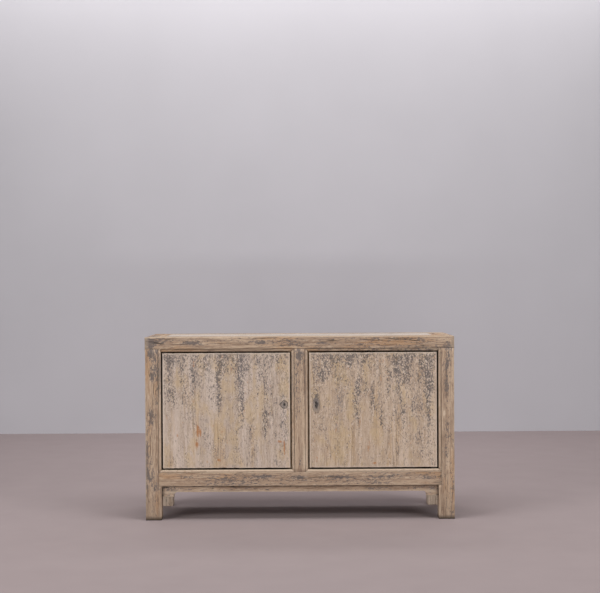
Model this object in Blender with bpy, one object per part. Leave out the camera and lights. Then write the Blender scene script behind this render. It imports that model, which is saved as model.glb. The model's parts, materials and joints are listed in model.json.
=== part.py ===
"""A low two-door sideboard of old timber, jointed without glue blocks or metal.

Four posts carry a mitred top frame. A beaded rail, a beaded centre stile and the lip of the top
frame make the front, and their shoulders mitre across the bead only. Two plank doors turn on
wooden pivots. Sides, back and floor are boards held in grooves, and a shelf lies on bearers.
Metres, +Z up, origin on the floor below the middle of the cabinet, front towards -Y.
"""

import math

import bmesh
import bpy
from mathutils import Matrix, Vector

# Overall size
WIDTH = 1.350
DEPTH = 0.420
HEIGHT = 0.800

# Fits between pieces
SEAT = 0.0003
OVERCUT = 0.010
ROOT = 0.010

# Posts
FRONT_POST_WIDTH = 0.070
BACK_POST_WIDTH = 0.084
POST_DEPTH = 0.062
LEG_HEIGHT = 0.148
EASE = 0.0025
EASE_STEPS = 3

# Front frame
FRAME_DEPTH = 0.045
RAIL_HEIGHT = 0.072
STILE_WIDTH = 0.071
BEAD = 0.012
BEAD_CROWN = 0.003
BEAD_LEAN = 0.0006
BEAD_STEPS = 6

# Rail and stile tenons
TENON_THICKNESS = 0.014
TENON_LENGTH = 0.026
TENON_SHOULDER = 0.014

# Top frame
TOP_THICKNESS = 0.053
TOP_FRAME_WIDTH = 0.085
CORNER_TENON_THICKNESS = 0.016
CORNER_TENON_WIDTH = 0.026
CORNER_TENON_COVER = 0.015
CORNER_TENON_MARGIN = 0.009
POST_TENON_THICKNESS = 0.016
POST_TENON_WIDTH = 0.014
POST_TENON_MARGIN = 0.010
LONG_TENON_COVER = 0.018
SHORT_TENON_GAP = 0.003

# Top boards and their battens
TOP_BOARDS = 3
TOP_BOARD_THICKNESS = 0.020
TOP_TONGUE_LENGTH = 0.010
TOP_TONGUE_THICKNESS = 0.008
TOP_BATTEN_PLACE = 0.280
TOP_BATTEN_WIDTH = 0.044
TOP_BATTEN_HEIGHT = 0.024
BATTEN_TENON_LENGTH = 0.014
BATTEN_SHOULDER = 0.005

# Sliding dovetails
DOVETAIL_NECK = 0.024
DOVETAIL_FLARE = 0.032
DOVETAIL_DEPTH = 0.007

# Apron under the rails
APRON_THICKNESS = 0.018
APRON_SETBACK = 0.014
APRON_HEIGHT = 0.028
SPANDREL_WIDTH = 0.054
SPANDREL_DROP = 0.021
SPANDREL_COVE = 0.013
APRON_TONGUE = 0.006
APRON_END_TONGUE = 0.008

# Sides, back and floor
SIDE_SETBACK = 0.002
BACK_SETBACK = 0.002
SIDE_RAIL_THICKNESS = 0.045
BACK_STILE_WIDTH = 0.060
PANEL_THICKNESS = 0.012
PANEL_SETBACK = 0.014
GROOVE_DEPTH = 0.008
FLOOR_THICKNESS = 0.014
FLOOR_DROP = 0.012
FLOOR_BOARDS = 3
FLOOR_BEARER_PLACE = 0.280
FLOOR_BEARER_WIDTH = 0.040
FLOOR_BEARER_HEIGHT = 0.030

# Shelf
SHELF_HEIGHT = 0.470
SHELF_THICKNESS = 0.016
SHELF_EDGE_GAP = 0.002
SHELF_BOARDS = 2
SHELF_BEARER_HEIGHT = 0.030
SHELF_BEARER_WIDTH = 0.035
SHELF_BEARER_GAP = 0.004
BEARER_TENON_LENGTH = 0.010
BEARER_TENON_THICKNESS = 0.012
BEARER_SHOULDER = 0.006

# Doors
DOOR_THICKNESS = 0.024
DOOR_SETBACK = 0.002
DOOR_SIDE_GAP = 0.006
DOOR_TOP_GAP = 0.005
DOOR_BOTTOM_GAP = 0.006
DOOR_EASE = 0.0012
LEFT_HINGE_BOARD = 0.158
LEFT_MIDDLE_BOARD = 0.175
RIGHT_HINGE_BOARD = 0.183
RIGHT_MIDDLE_BOARD = 0.192
STOP_WIDTH = 0.100
STOP_THICKNESS = 0.016
DOOR_BATTEN_PLACE = 0.090
DOOR_BATTEN_WIDTH = 0.042
DOOR_BATTEN_PROUD = 0.010
DOOR_BATTEN_SETBACK = 0.028
DOOR_BATTEN_STOP_GAP = 0.004

# Wooden door pivots, and the pair of holes left by an old pull
PIVOT_INSET = 0.014
PIVOT_RADIUS = 0.008
PIVOT_CLEARANCE = 0.0005
PIVOT_SEAT_DEPTH = 0.004
PIVOT_TOP_LENGTH = 0.016
PIVOT_LIFT = 0.005
PULL_INSET = 0.027
PULL_HEIGHT = 0.506
PULL_HOLE_SPACING = 0.0125
PULL_HOLE_RADIUS = 0.0024
ROUND_SIDES = 24

# Finishes, as linear colour and roughness
FRAME_WOOD = ((0.30, 0.215, 0.155, 1.0), 0.86)
DOOR_WOOD = ((0.37, 0.29, 0.235, 1.0), 0.90)
TOP_WOOD = ((0.40, 0.315, 0.245, 1.0), 0.84)
INNER_WOOD = ((0.27, 0.185, 0.12, 1.0), 0.80)

# Places that follow from the sizes
HALF_WIDTH = WIDTH / 2
FRONT = -DEPTH / 2
BACK = DEPTH / 2
OPENING_HALF = HALF_WIDTH - FRONT_POST_WIDTH
BACK_HALF = HALF_WIDTH - BACK_POST_WIDTH
TOP_UNDER = HEIGHT - TOP_THICKNESS
OPENING_TOP = TOP_UNDER - BEAD
RAIL_TOP = LEG_HEIGHT + RAIL_HEIGHT
RAIL_REACH = OPENING_HALF + BEAD + SEAT
FRONT_POST_BACK = FRONT + POST_DEPTH
BACK_POST_FRONT = BACK - POST_DEPTH
FRAME_BACK = FRONT + FRAME_DEPTH
BACK_FRAME = (BACK - BACK_SETBACK - FRAME_DEPTH, BACK - BACK_SETBACK)
BACK_FRAME_MIDDLE = sum(BACK_FRAME) / 2
STILE_HALF = STILE_WIDTH / 2
BACK_STILE_HALF = BACK_STILE_WIDTH / 2
DOOR_FRONT = FRONT + DOOR_SETBACK
DOOR_BACK = DOOR_FRONT + DOOR_THICKNESS
DOOR_BOTTOM = RAIL_TOP + DOOR_BOTTOM_GAP
DOOR_TOP = OPENING_TOP - DOOR_TOP_GAP
DOOR_OUTER = OPENING_HALF - DOOR_SIDE_GAP
DOOR_INNER = STILE_HALF + DOOR_SIDE_GAP
PIVOT_X = DOOR_OUTER - PIVOT_INSET
PIVOT_Y = (DOOR_FRONT + DOOR_BACK) / 2
STOP_BACK = DOOR_BACK + SEAT + STOP_THICKNESS
FIELD_X = HALF_WIDTH - TOP_FRAME_WIDTH
FIELD_Y = DEPTH / 2 - TOP_FRAME_WIDTH
TOP_BOARD_UNDER = HEIGHT - TOP_BOARD_THICKNESS
SIDE_RAIL_OUTER = HALF_WIDTH - SIDE_SETBACK
SIDE_RAIL_INNER = SIDE_RAIL_OUTER - SIDE_RAIL_THICKNESS
PANEL_OUTER = HALF_WIDTH - PANEL_SETBACK
PANEL_INNER = PANEL_OUTER - PANEL_THICKNESS
FLOOR_TOP = RAIL_TOP - FLOOR_DROP
FLOOR_UNDER = FLOOR_TOP - FLOOR_THICKNESS
MITRE_SEAT = SEAT * math.sqrt(2)

SIDES = (("left", -1), ("right", 1))
SHARP_ANGLE = math.radians(35)
WELD_DISTANCE = 1e-6
TURNS = {
    "X": Matrix(((0, 0, 1), (1, 0, 0), (0, 1, 0))),
    "Y": Matrix(((1, 0, 0), (0, 0, -1), (0, 1, 0))),
    "Z": Matrix.Identity(3),
}


# Scene set-up
def clear_scene():
    for old in list(bpy.data.objects):
        bpy.data.objects.remove(old, do_unlink=True)


def add_collection(name):
    collection = bpy.data.collections.new(name)
    bpy.context.scene.collection.children.link(collection)
    return collection


clear_scene()
sideboard = add_collection("sideboard")
cutters = add_collection("joinery_cutters")
cutters.hide_render = True
pieces = {}


# Basic shapes
def place(name, mesh, matrix):
    """A helper object in the cutter collection; keep() turns it into a piece."""
    mesh.shade_smooth()
    mesh.set_sharp_from_angle(angle=SHARP_ANGLE)
    helper = bpy.data.objects.new(name, mesh)
    helper.matrix_world = matrix
    helper.hide_render = True
    helper.display_type = "WIRE"
    cutters.objects.link(helper)
    return helper


def mesh_from(bm, name):
    mesh = bpy.data.meshes.new(name)
    bm.to_mesh(mesh)
    bm.free()
    return mesh


def block(name, xs, ys, zs, front_ease=0):
    """A box between the ends given for each axis, with its front arrises eased where asked."""
    low, high = (Vector(corner) for corner in zip(xs, ys, zs))
    bm = bmesh.new()
    bmesh.ops.create_cube(bm, size=1)
    bmesh.ops.scale(bm, vec=high - low, verts=bm.verts)
    if front_ease:
        arrises = [edge for edge in bm.edges if all(vert.co.y < 0 for vert in edge.verts)]
        bmesh.ops.bevel(bm, geom=arrises, offset=front_ease, segments=1, profile=0.5, affect="EDGES")
    return place(name, mesh_from(bm, name), Matrix.Translation((low + high) / 2))


def rod(name, centre, radius, length, along="Z"):
    bm = bmesh.new()
    bmesh.ops.create_cone(
        bm, cap_ends=True, segments=ROUND_SIDES, radius1=radius, radius2=radius, depth=length
    )
    matrix = Matrix.Translation(centre) @ TURNS[along].to_4x4()
    return place(name, mesh_from(bm, name), matrix)


def extruded(name, outline, along, start, stop):
    """A flat outline pulled along one axis: it lies in YZ for X, in XZ for Y and in XY for Z."""
    curve = bpy.data.curves.new(name, "CURVE")
    curve.dimensions = "2D"
    curve.fill_mode = "BOTH"
    curve.extrude = (stop - start) / 2
    spline = curve.splines.new("POLY")
    spline.points.add(len(outline) - 1)
    spline.use_cyclic_u = True
    for point, (u, v) in zip(spline.points, outline):
        point.co = (u, v, 0, 1)
    guide = bpy.data.objects.new(name + "_outline", curve)
    middle = (start + stop) / 2
    guide.matrix_world = Matrix.Translation(
        [middle if axis == along else 0 for axis in "XYZ"]
    ) @ TURNS[along].to_4x4()
    cutters.objects.link(guide)
    bpy.context.view_layer.update()
    graph = bpy.context.evaluated_depsgraph_get()
    mesh = bpy.data.meshes.new_from_object(guide.evaluated_get(graph))
    bm = bmesh.new()
    bm.from_mesh(mesh)
    bmesh.ops.remove_doubles(bm, verts=bm.verts, dist=WELD_DISTANCE)
    bmesh.ops.recalc_face_normals(bm, faces=bm.faces)
    bm.to_mesh(mesh)
    bm.free()
    matrix = guide.matrix_world.copy()
    bpy.data.objects.remove(guide)
    return place(name, mesh, matrix)


# Outlines
def rectangle(us, vs):
    return [(us[0], vs[0]), (us[1], vs[0]), (us[1], vs[1]), (us[0], vs[1])]


def rounded(corners, radius=EASE):
    """The outline through these corners, each corner turned into an arc.

    A corner is (u, v), or (u, v, r) where it has a radius of its own, and a radius of 0 stays sharp.
    """
    outline = []
    for index, corner in enumerate(corners):
        turn_radius = corner[2] if len(corner) > 2 else radius
        point = Vector(corner[:2])
        if not turn_radius:
            outline.append(tuple(point))
            continue
        before = (Vector(corners[index - 1][:2]) - point).normalized()
        after = (Vector(corners[(index + 1) % len(corners)][:2]) - point).normalized()
        half_angle = before.angle(after) / 2
        centre = point + (before + after).normalized() * turn_radius / math.sin(half_angle)
        first = point + before * turn_radius / math.tan(half_angle) - centre
        sweep = first.angle_signed(point + after * turn_radius / math.tan(half_angle) - centre)
        for step in range(EASE_STEPS + 1):
            turned = Matrix.Rotation(-sweep * step / EASE_STEPS, 2) @ first
            outline.append(tuple(centre + turned))
    return outline


def bead_arc():
    """The bead's crown, from the side face (u = 0) to the quirk (u = BEAD), sunk by v.

    It leans, so that it lies a little lower along the opening than along the quirk.
    """
    radius = (BEAD**2 / 4 + BEAD_CROWN**2) / (2 * BEAD_CROWN)
    half_sweep = math.asin(BEAD / 2 / radius)
    arc = []
    for step in range(BEAD_STEPS + 1):
        angle = half_sweep * (2 * step / BEAD_STEPS - 1)
        across = BEAD / 2 + radius * math.sin(angle)
        lean = BEAD_LEAN * (1 - across / BEAD)
        arc.append((across, radius * (1 - math.cos(angle)) + lean))
    return arc


def beaded_section(width, depth):
    """Section of a front member with one bead: u across its face from the opening, v into it."""
    bead = bead_arc()
    eased = rounded([(width, 0), (width, depth), (0, depth), bead[0] + (0,)])[:-1]
    return bead + [(BEAD, 0)] + eased


def double_beaded_section(width, depth):
    """Section of the centre stile, with a bead along both edges of its face."""
    far_bead = [(width - u, v) for u, v in reversed(bead_arc())]
    return bead_arc() + [(BEAD, 0), (width - BEAD, 0)] + far_bead + [(width, depth), (0, depth)]


def dovetail_section(width, proud):
    """Section of a batten: u across it, v from the board's face, positive into the board."""
    neck = DOVETAIL_NECK / 2
    flare = DOVETAIL_FLARE / 2
    half = width / 2
    tail = [(neck, -SEAT), (flare, DOVETAIL_DEPTH), (-flare, DOVETAIL_DEPTH), (-neck, -SEAT)]
    return tail + [(-half, -SEAT), (-half, -proud), (half, -proud), (half, -SEAT)]


def dovetail_slot():
    """The slot for that batten's tail, opened past the board's face."""
    neck = DOVETAIL_NECK / 2 + SEAT
    flare = DOVETAIL_FLARE / 2 + SEAT
    depth = DOVETAIL_DEPTH + SEAT
    right = [(neck, -OVERCUT), (neck, -SEAT), (flare, depth)]
    return right + [(-u, v) for u, v in reversed(right)]


# Ranges
def spread(side, inner, outer):
    """The X range between two distances from the middle, on one side of it."""
    return tuple(sorted((side * inner, side * outer)))


def about(middle, width):
    return (middle - width / 2, middle + width / 2)


def grown(ends, by=SEAT):
    return (ends[0] - by, ends[1] + by)


def split(ends, count):
    """Equal ranges side by side, with the seat gap between them."""
    step = (ends[1] - ends[0] + SEAT) / count
    return [(ends[0] + step * place, ends[0] + step * (place + 1) - SEAT) for place in range(count)]


# Pieces and joints
def keep(piece, finish):
    """Turns a helper into a visible piece with its own material."""
    colour, roughness = finish
    cutters.objects.unlink(piece)
    sideboard.objects.link(piece)
    piece.hide_render = False
    piece.display_type = "TEXTURED"
    material = bpy.data.materials.new(piece.name + "_wood")
    material.use_nodes = True
    shader = material.node_tree.nodes["Principled BSDF"]
    shader.inputs["Base Color"].default_value = colour
    shader.inputs["Roughness"].default_value = roughness
    shader.inputs["Metallic"].default_value = 0
    piece.data.materials.append(material)
    pieces[piece.name] = piece
    return piece


def combine(piece, other, operation):
    step = piece.modifiers.new(other.name, "BOOLEAN")
    step.operation = operation
    step.solver = "EXACT"
    step.object = other


def cut(piece, cutter):
    combine(piece, cutter, "DIFFERENCE")


def tenon(owner, mates, xs, ys, zs):
    """A tenon on one piece, and a mortise that fits it in each piece that it enters."""
    combine(owner, block(owner.name + "_tenon", xs, ys, zs), "UNION")
    mortise = block(owner.name + "_mortise", grown(xs), grown(ys), grown(zs))
    for mate in mates:
        cut(mate, mortise)


def cut_groove(name, xs, ys, zs, holders):
    """Grooves, in the pieces round a panel, that fit the panel's edges."""
    groove = block(name + "_groove", grown(xs), grown(ys), grown(zs))
    for holder in holders:
        cut(holder, groove)


# Posts
def make_front_posts():
    for label, side in SIDES:
        section = beaded_section(FRONT_POST_WIDTH, POST_DEPTH)
        outline = [(side * (OPENING_HALF + u), FRONT + v) for u, v in section]
        post = keep(extruded(f"post_front_{label}", outline, "Z", 0, TOP_UNDER - SEAT), FRAME_WOOD)
        inner = OPENING_HALF - OVERCUT + MITRE_SEAT
        bead_mitre = [
            (side * inner, OPENING_TOP - OVERCUT),
            (side * (inner + BEAD + 2 * OVERCUT), TOP_UNDER + OVERCUT),
            (side * inner, TOP_UNDER + OVERCUT),
        ]
        front_depth = (FRONT - OVERCUT, FRAME_BACK + SEAT)
        cut(post, extruded(f"post_{label}_bead_mitre", bead_mitre, "Y", *front_depth))
        shoulder = RAIL_REACH + SEAT
        rail_housing = [
            (side * (OPENING_HALF - OVERCUT), RAIL_TOP + MITRE_SEAT + OVERCUT),
            (side * shoulder, RAIL_TOP + MITRE_SEAT - (shoulder - OPENING_HALF)),
            (side * shoulder, LEG_HEIGHT - SEAT),
            (side * (OPENING_HALF - OVERCUT), LEG_HEIGHT - SEAT),
        ]
        cut(post, extruded(f"post_{label}_rail_housing", rail_housing, "Y", *front_depth))


def make_back_posts():
    for label, side in SIDES:
        corners = rectangle(spread(side, BACK_HALF, HALF_WIDTH), (BACK_POST_FRONT, BACK))
        keep(extruded(f"post_back_{label}", rounded(corners), "Z", 0, TOP_UNDER - SEAT), FRAME_WOOD)


# Top frame
def corner_wedge(name, side, end, shift, keeps_long_rail):
    """The half of a frame corner that lies beyond the mitre line."""
    far = TOP_FRAME_WIDTH + OVERCUT
    outer = (side * (HALF_WIDTH + OVERCUT - shift), end * (BACK + OVERCUT))
    inner = (side * (HALF_WIDTH - far - shift), end * (BACK - far))
    corner = (outer[0], inner[1]) if keeps_long_rail else (inner[0], outer[1])
    return extruded(name, [outer, inner, corner], "Z", OPENING_TOP - OVERCUT, HEIGHT + OVERCUT)


def make_top_frame():
    depth = TOP_FRAME_WIDTH
    lip = bead_arc() + [(BEAD, 0)]
    lip_back = [(BEAD, depth), (BEAD, FRAME_DEPTH), (0, FRAME_DEPTH)]
    face = rounded([(BEAD, 0, 0), (BEAD + TOP_THICKNESS, 0), (BEAD + TOP_THICKNESS, depth, 0)])[1:]
    front_section = [(FRONT + v, OPENING_TOP + u) for u, v in lip + face + lip_back]
    front_rail = keep(
        extruded("top_front_rail", front_section, "X", -HALF_WIDTH, HALF_WIDTH), FRAME_WOOD
    )
    back_corners = [
        (BACK - depth, TOP_UNDER, 0),
        (BACK, TOP_UNDER),
        (BACK, HEIGHT),
        (BACK - depth, HEIGHT, 0),
    ]
    back_rail = keep(
        extruded("top_back_rail", rounded(back_corners), "X", -HALF_WIDTH, HALF_WIDTH), FRAME_WOOD
    )
    for label, side in SIDES:
        notch_top = TOP_UNDER + SEAT
        post_notch = [
            (side * (OPENING_HALF - OVERCUT), OPENING_TOP - OVERCUT),
            (side * (OPENING_HALF + notch_top - OPENING_TOP), notch_top),
            (side * (HALF_WIDTH + OVERCUT), notch_top),
            (side * (HALF_WIDTH + OVERCUT), OPENING_TOP - OVERCUT),
        ]
        notch_depth = (FRONT - OVERCUT, FRAME_BACK + OVERCUT)
        cut(front_rail, extruded(f"top_{label}_post_notch", post_notch, "Y", *notch_depth))
        end_corners = [
            (side * HALF_WIDTH, TOP_UNDER),
            (side * HALF_WIDTH, HEIGHT),
            (side * FIELD_X, HEIGHT, 0),
            (side * FIELD_X, TOP_UNDER, 0),
        ]
        end_rail = keep(
            extruded(f"top_{label}_rail", rounded(end_corners), "Y", FRONT, BACK), FRAME_WOOD
        )
        for long_rail, end in ((front_rail, -1), (back_rail, 1)):
            cut(long_rail, corner_wedge(f"{long_rail.name}_{label}_mitre", side, end, SEAT, True))
            cut(end_rail, corner_wedge(f"{end_rail.name}_mitre", side, end, -SEAT, False))
            tenon_edge = BACK - TOP_FRAME_WIDTH + TOP_TONGUE_LENGTH + CORNER_TENON_MARGIN
            tenon(
                long_rail,
                [end_rail],
                spread(side, FIELD_X - ROOT, HALF_WIDTH - CORNER_TENON_COVER),
                spread(end, tenon_edge, tenon_edge + CORNER_TENON_WIDTH),
                about((TOP_UNDER + HEIGHT) / 2, CORNER_TENON_THICKNESS),
            )
    return front_rail, back_rail


def join_posts_to_top():
    """Each post has a long tenon in the front or back rail and a short one in the end rail."""
    near = POST_TENON_MARGIN
    far = 2 * POST_TENON_MARGIN + POST_TENON_THICKNESS
    thin = (near, near + POST_TENON_THICKNESS)
    wide = (far, far + POST_TENON_WIDTH)
    long_top = HEIGHT - LONG_TENON_COVER
    short_top = (TOP_UNDER + HEIGHT - CORNER_TENON_THICKNESS) / 2 - SHORT_TENON_GAP
    for label, side in SIDES:
        for place_name, end in (("front", -1), ("back", 1)):
            post = pieces[f"post_{place_name}_{label}"]
            mates = [pieces[f"top_{place_name}_rail"], pieces[f"top_{label}_rail"]]
            for from_side, from_end, top in ((wide, thin, long_top), (thin, wide, short_top)):
                tenon(
                    post,
                    mates,
                    spread(side, HALF_WIDTH - from_side[1], HALF_WIDTH - from_side[0]),
                    spread(end, BACK - from_end[1], BACK - from_end[0]),
                    (TOP_UNDER - ROOT, top),
                )


def make_top_boards():
    tongue_top = TOP_BOARD_UNDER + TOP_TONGUE_THICKNESS
    reach_x = FIELD_X + TOP_TONGUE_LENGTH - SEAT
    reach_y = FIELD_Y + TOP_TONGUE_LENGTH - SEAT
    zs = (TOP_BOARD_UNDER, HEIGHT)
    rails = [pieces[f"top_{place_name}_rail"] for place_name in ("front", "back", "left", "right")]
    tongue = block(
        "top_tongue_groove",
        grown((-reach_x, reach_x)),
        grown((-reach_y, reach_y)),
        grown((TOP_BOARD_UNDER, tongue_top)),
    )
    for rail in rails:
        cut(rail, tongue)
    edge = OVERCUT + TOP_TONGUE_LENGTH
    above = (tongue_top, HEIGHT + OVERCUT)
    wide_x = (-HALF_WIDTH, HALF_WIDTH)
    wide_y = (FRONT, BACK)
    rebates = []
    for label, side in (("low", -1), ("high", 1)):
        xs = spread(side, FIELD_X - SEAT, FIELD_X + edge)
        ys = spread(side, FIELD_Y - SEAT, FIELD_Y + edge)
        rebates.append(block(f"top_end_rebate_{label}", xs, wide_y, above))
        rebates.append(block(f"top_edge_rebate_{label}", wide_x, ys, above))
    boards = []
    for index, ys in enumerate(split((-reach_y, reach_y), TOP_BOARDS)):
        board = keep(block(f"top_board_{index + 1}", (-reach_x, reach_x), ys, zs), TOP_WOOD)
        for rebate in rebates:
            cut(board, rebate)
        boards.append(board)
    batten_zs = (TOP_BOARD_UNDER - TOP_BATTEN_HEIGHT, TOP_BOARD_UNDER)
    for label, side in SIDES:
        middle = side * TOP_BATTEN_PLACE
        section = dovetail_section(TOP_BATTEN_WIDTH, TOP_BATTEN_HEIGHT)
        outline = [(middle + u, TOP_BOARD_UNDER + v) for u, v in section]
        batten = keep(
            extruded(f"top_batten_{label}", outline, "Y", SEAT - FIELD_Y, FIELD_Y - SEAT), INNER_WOOD
        )
        slot = [(middle + u, TOP_BOARD_UNDER + v) for u, v in dovetail_slot()]
        slot_cutter = extruded(f"top_batten_{label}_slot", slot, "Y", -FIELD_Y, FIELD_Y)
        for board in boards:
            cut(board, slot_cutter)
        for end, rail in ((-1, rails[0]), (1, rails[1])):
            tenon(
                batten,
                [rail],
                about(middle, TOP_BATTEN_WIDTH - 2 * BATTEN_SHOULDER),
                spread(end, FIELD_Y - ROOT, FIELD_Y + BATTEN_TENON_LENGTH),
                grown(batten_zs, -BATTEN_SHOULDER),
            )


# Front frame
def make_front_rail():
    reach = RAIL_REACH
    past = reach + OVERCUT
    section = [(FRONT + v, RAIL_TOP - u) for u, v in beaded_section(RAIL_HEIGHT, FRAME_DEPTH)]
    rail = keep(extruded("front_bottom_rail", section, "X", -reach, reach), FRAME_WOOD)
    for label, side in SIDES:
        bead_mitre = [
            (side * (OPENING_HALF - OVERCUT), RAIL_TOP + OVERCUT),
            (side * past, RAIL_TOP - (past - OPENING_HALF)),
            (side * past, RAIL_TOP + OVERCUT),
        ]
        through = (FRONT - OVERCUT, FRAME_BACK + OVERCUT)
        cut(rail, extruded(f"rail_{label}_bead_mitre", bead_mitre, "Y", *through))
        tenon(
            rail,
            [pieces[f"post_front_{label}"]],
            spread(side, reach - ROOT, reach + TENON_LENGTH),
            about((FRONT + FRAME_BACK) / 2, TENON_THICKNESS),
            (LEG_HEIGHT + TENON_SHOULDER, RAIL_TOP - BEAD - TENON_SHOULDER / 2),
        )
    return rail


def make_centre_stile(rail, top_rail):
    ends = (RAIL_TOP - BEAD, TOP_UNDER)
    depth = DOOR_BACK - FRONT
    outline = [(u - STILE_HALF, FRONT + v) for u, v in double_beaded_section(STILE_WIDTH, depth)]
    stile = keep(extruded("centre_stile", outline, "Z", *ends), FRAME_WOOD)
    through = (FRONT - OVERCUT, DOOR_BACK + OVERCUT)
    for end_name, end, z_in, up in (("foot", rail, RAIL_TOP, 1), ("head", top_rail, OPENING_TOP, -1)):
        butt = z_in - up * BEAD
        notch_right = [
            (STILE_HALF - BEAD - SEAT, butt - up * SEAT),
            (STILE_HALF + OVERCUT, z_in + up * OVERCUT),
        ]
        notch = notch_right + [(-x, z) for x, z in reversed(notch_right)]
        cut(end, extruded(f"stile_{end_name}_notch", notch, "Y", FRONT - OVERCUT, DOOR_BACK + SEAT))
        for label, side in SIDES:
            outer = STILE_HALF + OVERCUT - 2 * SEAT
            bead_mitre = [
                (side * outer, z_in + up * OVERCUT),
                (side * (outer - BEAD - 2 * OVERCUT), butt - up * OVERCUT),
                (side * outer, butt - up * OVERCUT),
            ]
            cut(stile, extruded(f"stile_{end_name}_{label}_mitre", bead_mitre, "Y", *through))
        tenon(
            stile,
            [end],
            about(0, STILE_WIDTH - 2 * BEAD - TENON_SHOULDER),
            about(PIVOT_Y, DOOR_THICKNESS / 2),
            tuple(sorted((butt + up * ROOT, butt - up * TENON_LENGTH))),
        )
    keep(
        block(
            "door_stop_strip",
            about(0, STOP_WIDTH),
            (DOOR_BACK + SEAT, STOP_BACK),
            (RAIL_TOP + SEAT, OPENING_TOP - SEAT),
        ),
        INNER_WOOD,
    )


def apron_outline(half_length):
    """Half lengths along the rail, heights from the floor: a strip with a coved spandrel at each end."""
    strip_bottom = LEG_HEIGHT - APRON_HEIGHT
    foot = strip_bottom - SPANDREL_DROP
    inner = half_length - SPANDREL_WIDTH
    top = LEG_HEIGHT - SEAT
    right = [
        (inner, strip_bottom, SPANDREL_COVE),
        (inner, foot),
        (half_length, foot, 0),
        (half_length, top, 0),
    ]
    left = [(-corner[0],) + corner[1:] for corner in reversed(right)]
    return rounded(right + left)


def make_front_apron(rail):
    half_length = OPENING_HALF - SEAT
    ys = (FRONT + APRON_SETBACK, FRONT + APRON_SETBACK + APRON_THICKNESS)
    apron = keep(extruded("front_apron", apron_outline(half_length), "Y", *ys), FRAME_WOOD)
    middle = about(sum(ys) / 2, APRON_THICKNESS / 3)
    tongue = about(0, 2 * (half_length - SPANDREL_WIDTH))
    tenon(apron, [rail], tongue, middle, (LEG_HEIGHT - ROOT, LEG_HEIGHT + APRON_TONGUE))
    for label, side in SIDES:
        tenon(
            apron,
            [pieces[f"post_front_{label}"]],
            spread(side, half_length - ROOT, OPENING_HALF + APRON_END_TONGUE),
            middle,
            (LEG_HEIGHT - APRON_HEIGHT, LEG_HEIGHT - TENON_SHOULDER / 2),
        )


# Sides and back
def make_sides():
    posts_between = (FRONT_POST_BACK + SEAT, BACK_POST_FRONT - SEAT)
    middle_y = (FRONT_POST_BACK + BACK_POST_FRONT) / 2
    for label, side in SIDES:
        posts = [pieces[f"post_front_{label}"], pieces[f"post_back_{label}"]]
        corners = rectangle(spread(side, SIDE_RAIL_INNER, SIDE_RAIL_OUTER), (LEG_HEIGHT, RAIL_TOP))
        rail = keep(extruded(f"side_rail_{label}", rounded(corners), "Y", *posts_between), FRAME_WOOD)
        for post, end, face in zip(posts, (-1, 1), (-FRONT_POST_BACK, BACK_POST_FRONT)):
            tenon(
                rail,
                [post],
                about(side * (SIDE_RAIL_INNER + SIDE_RAIL_OUTER) / 2, TENON_THICKNESS),
                spread(end, face - ROOT, face + TENON_LENGTH),
                (LEG_HEIGHT + TENON_SHOULDER, RAIL_TOP - TENON_SHOULDER),
            )
        reach_y = (FRONT_POST_BACK - GROOVE_DEPTH, BACK_POST_FRONT + GROOVE_DEPTH)
        zs = (RAIL_TOP - GROOVE_DEPTH, TOP_UNDER + GROOVE_DEPTH)
        xs = spread(side, PANEL_INNER, PANEL_OUTER)
        cut_groove(f"side_{label}", xs, reach_y, zs, posts + [rail, pieces[f"top_{label}_rail"]])
        for place_name, ys in zip(("front", "back"), split(reach_y, 2)):
            keep(block(f"side_board_{place_name}_{label}", xs, ys, zs), FRAME_WOOD)
        half_length = posts_between[1] - middle_y
        outline = [(middle_y + u, z) for u, z in apron_outline(half_length)]
        apron_outer = HALF_WIDTH - APRON_SETBACK
        apron_xs = spread(side, apron_outer - APRON_THICKNESS, apron_outer)
        apron = keep(extruded(f"side_apron_{label}", outline, "X", *apron_xs), FRAME_WOOD)
        middle = about(sum(apron_xs) / 2, APRON_THICKNESS / 3)
        tongue = about(middle_y, 2 * (half_length - SPANDREL_WIDTH))
        tenon(apron, [rail], middle, tongue, (LEG_HEIGHT - ROOT, LEG_HEIGHT + APRON_TONGUE))
        for post, end, face in zip(posts, (-1, 1), (-FRONT_POST_BACK, BACK_POST_FRONT)):
            tenon(
                apron,
                [post],
                middle,
                spread(end, face - ROOT, face + APRON_END_TONGUE),
                (LEG_HEIGHT - APRON_HEIGHT, LEG_HEIGHT - TENON_SHOULDER / 2),
            )


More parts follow.
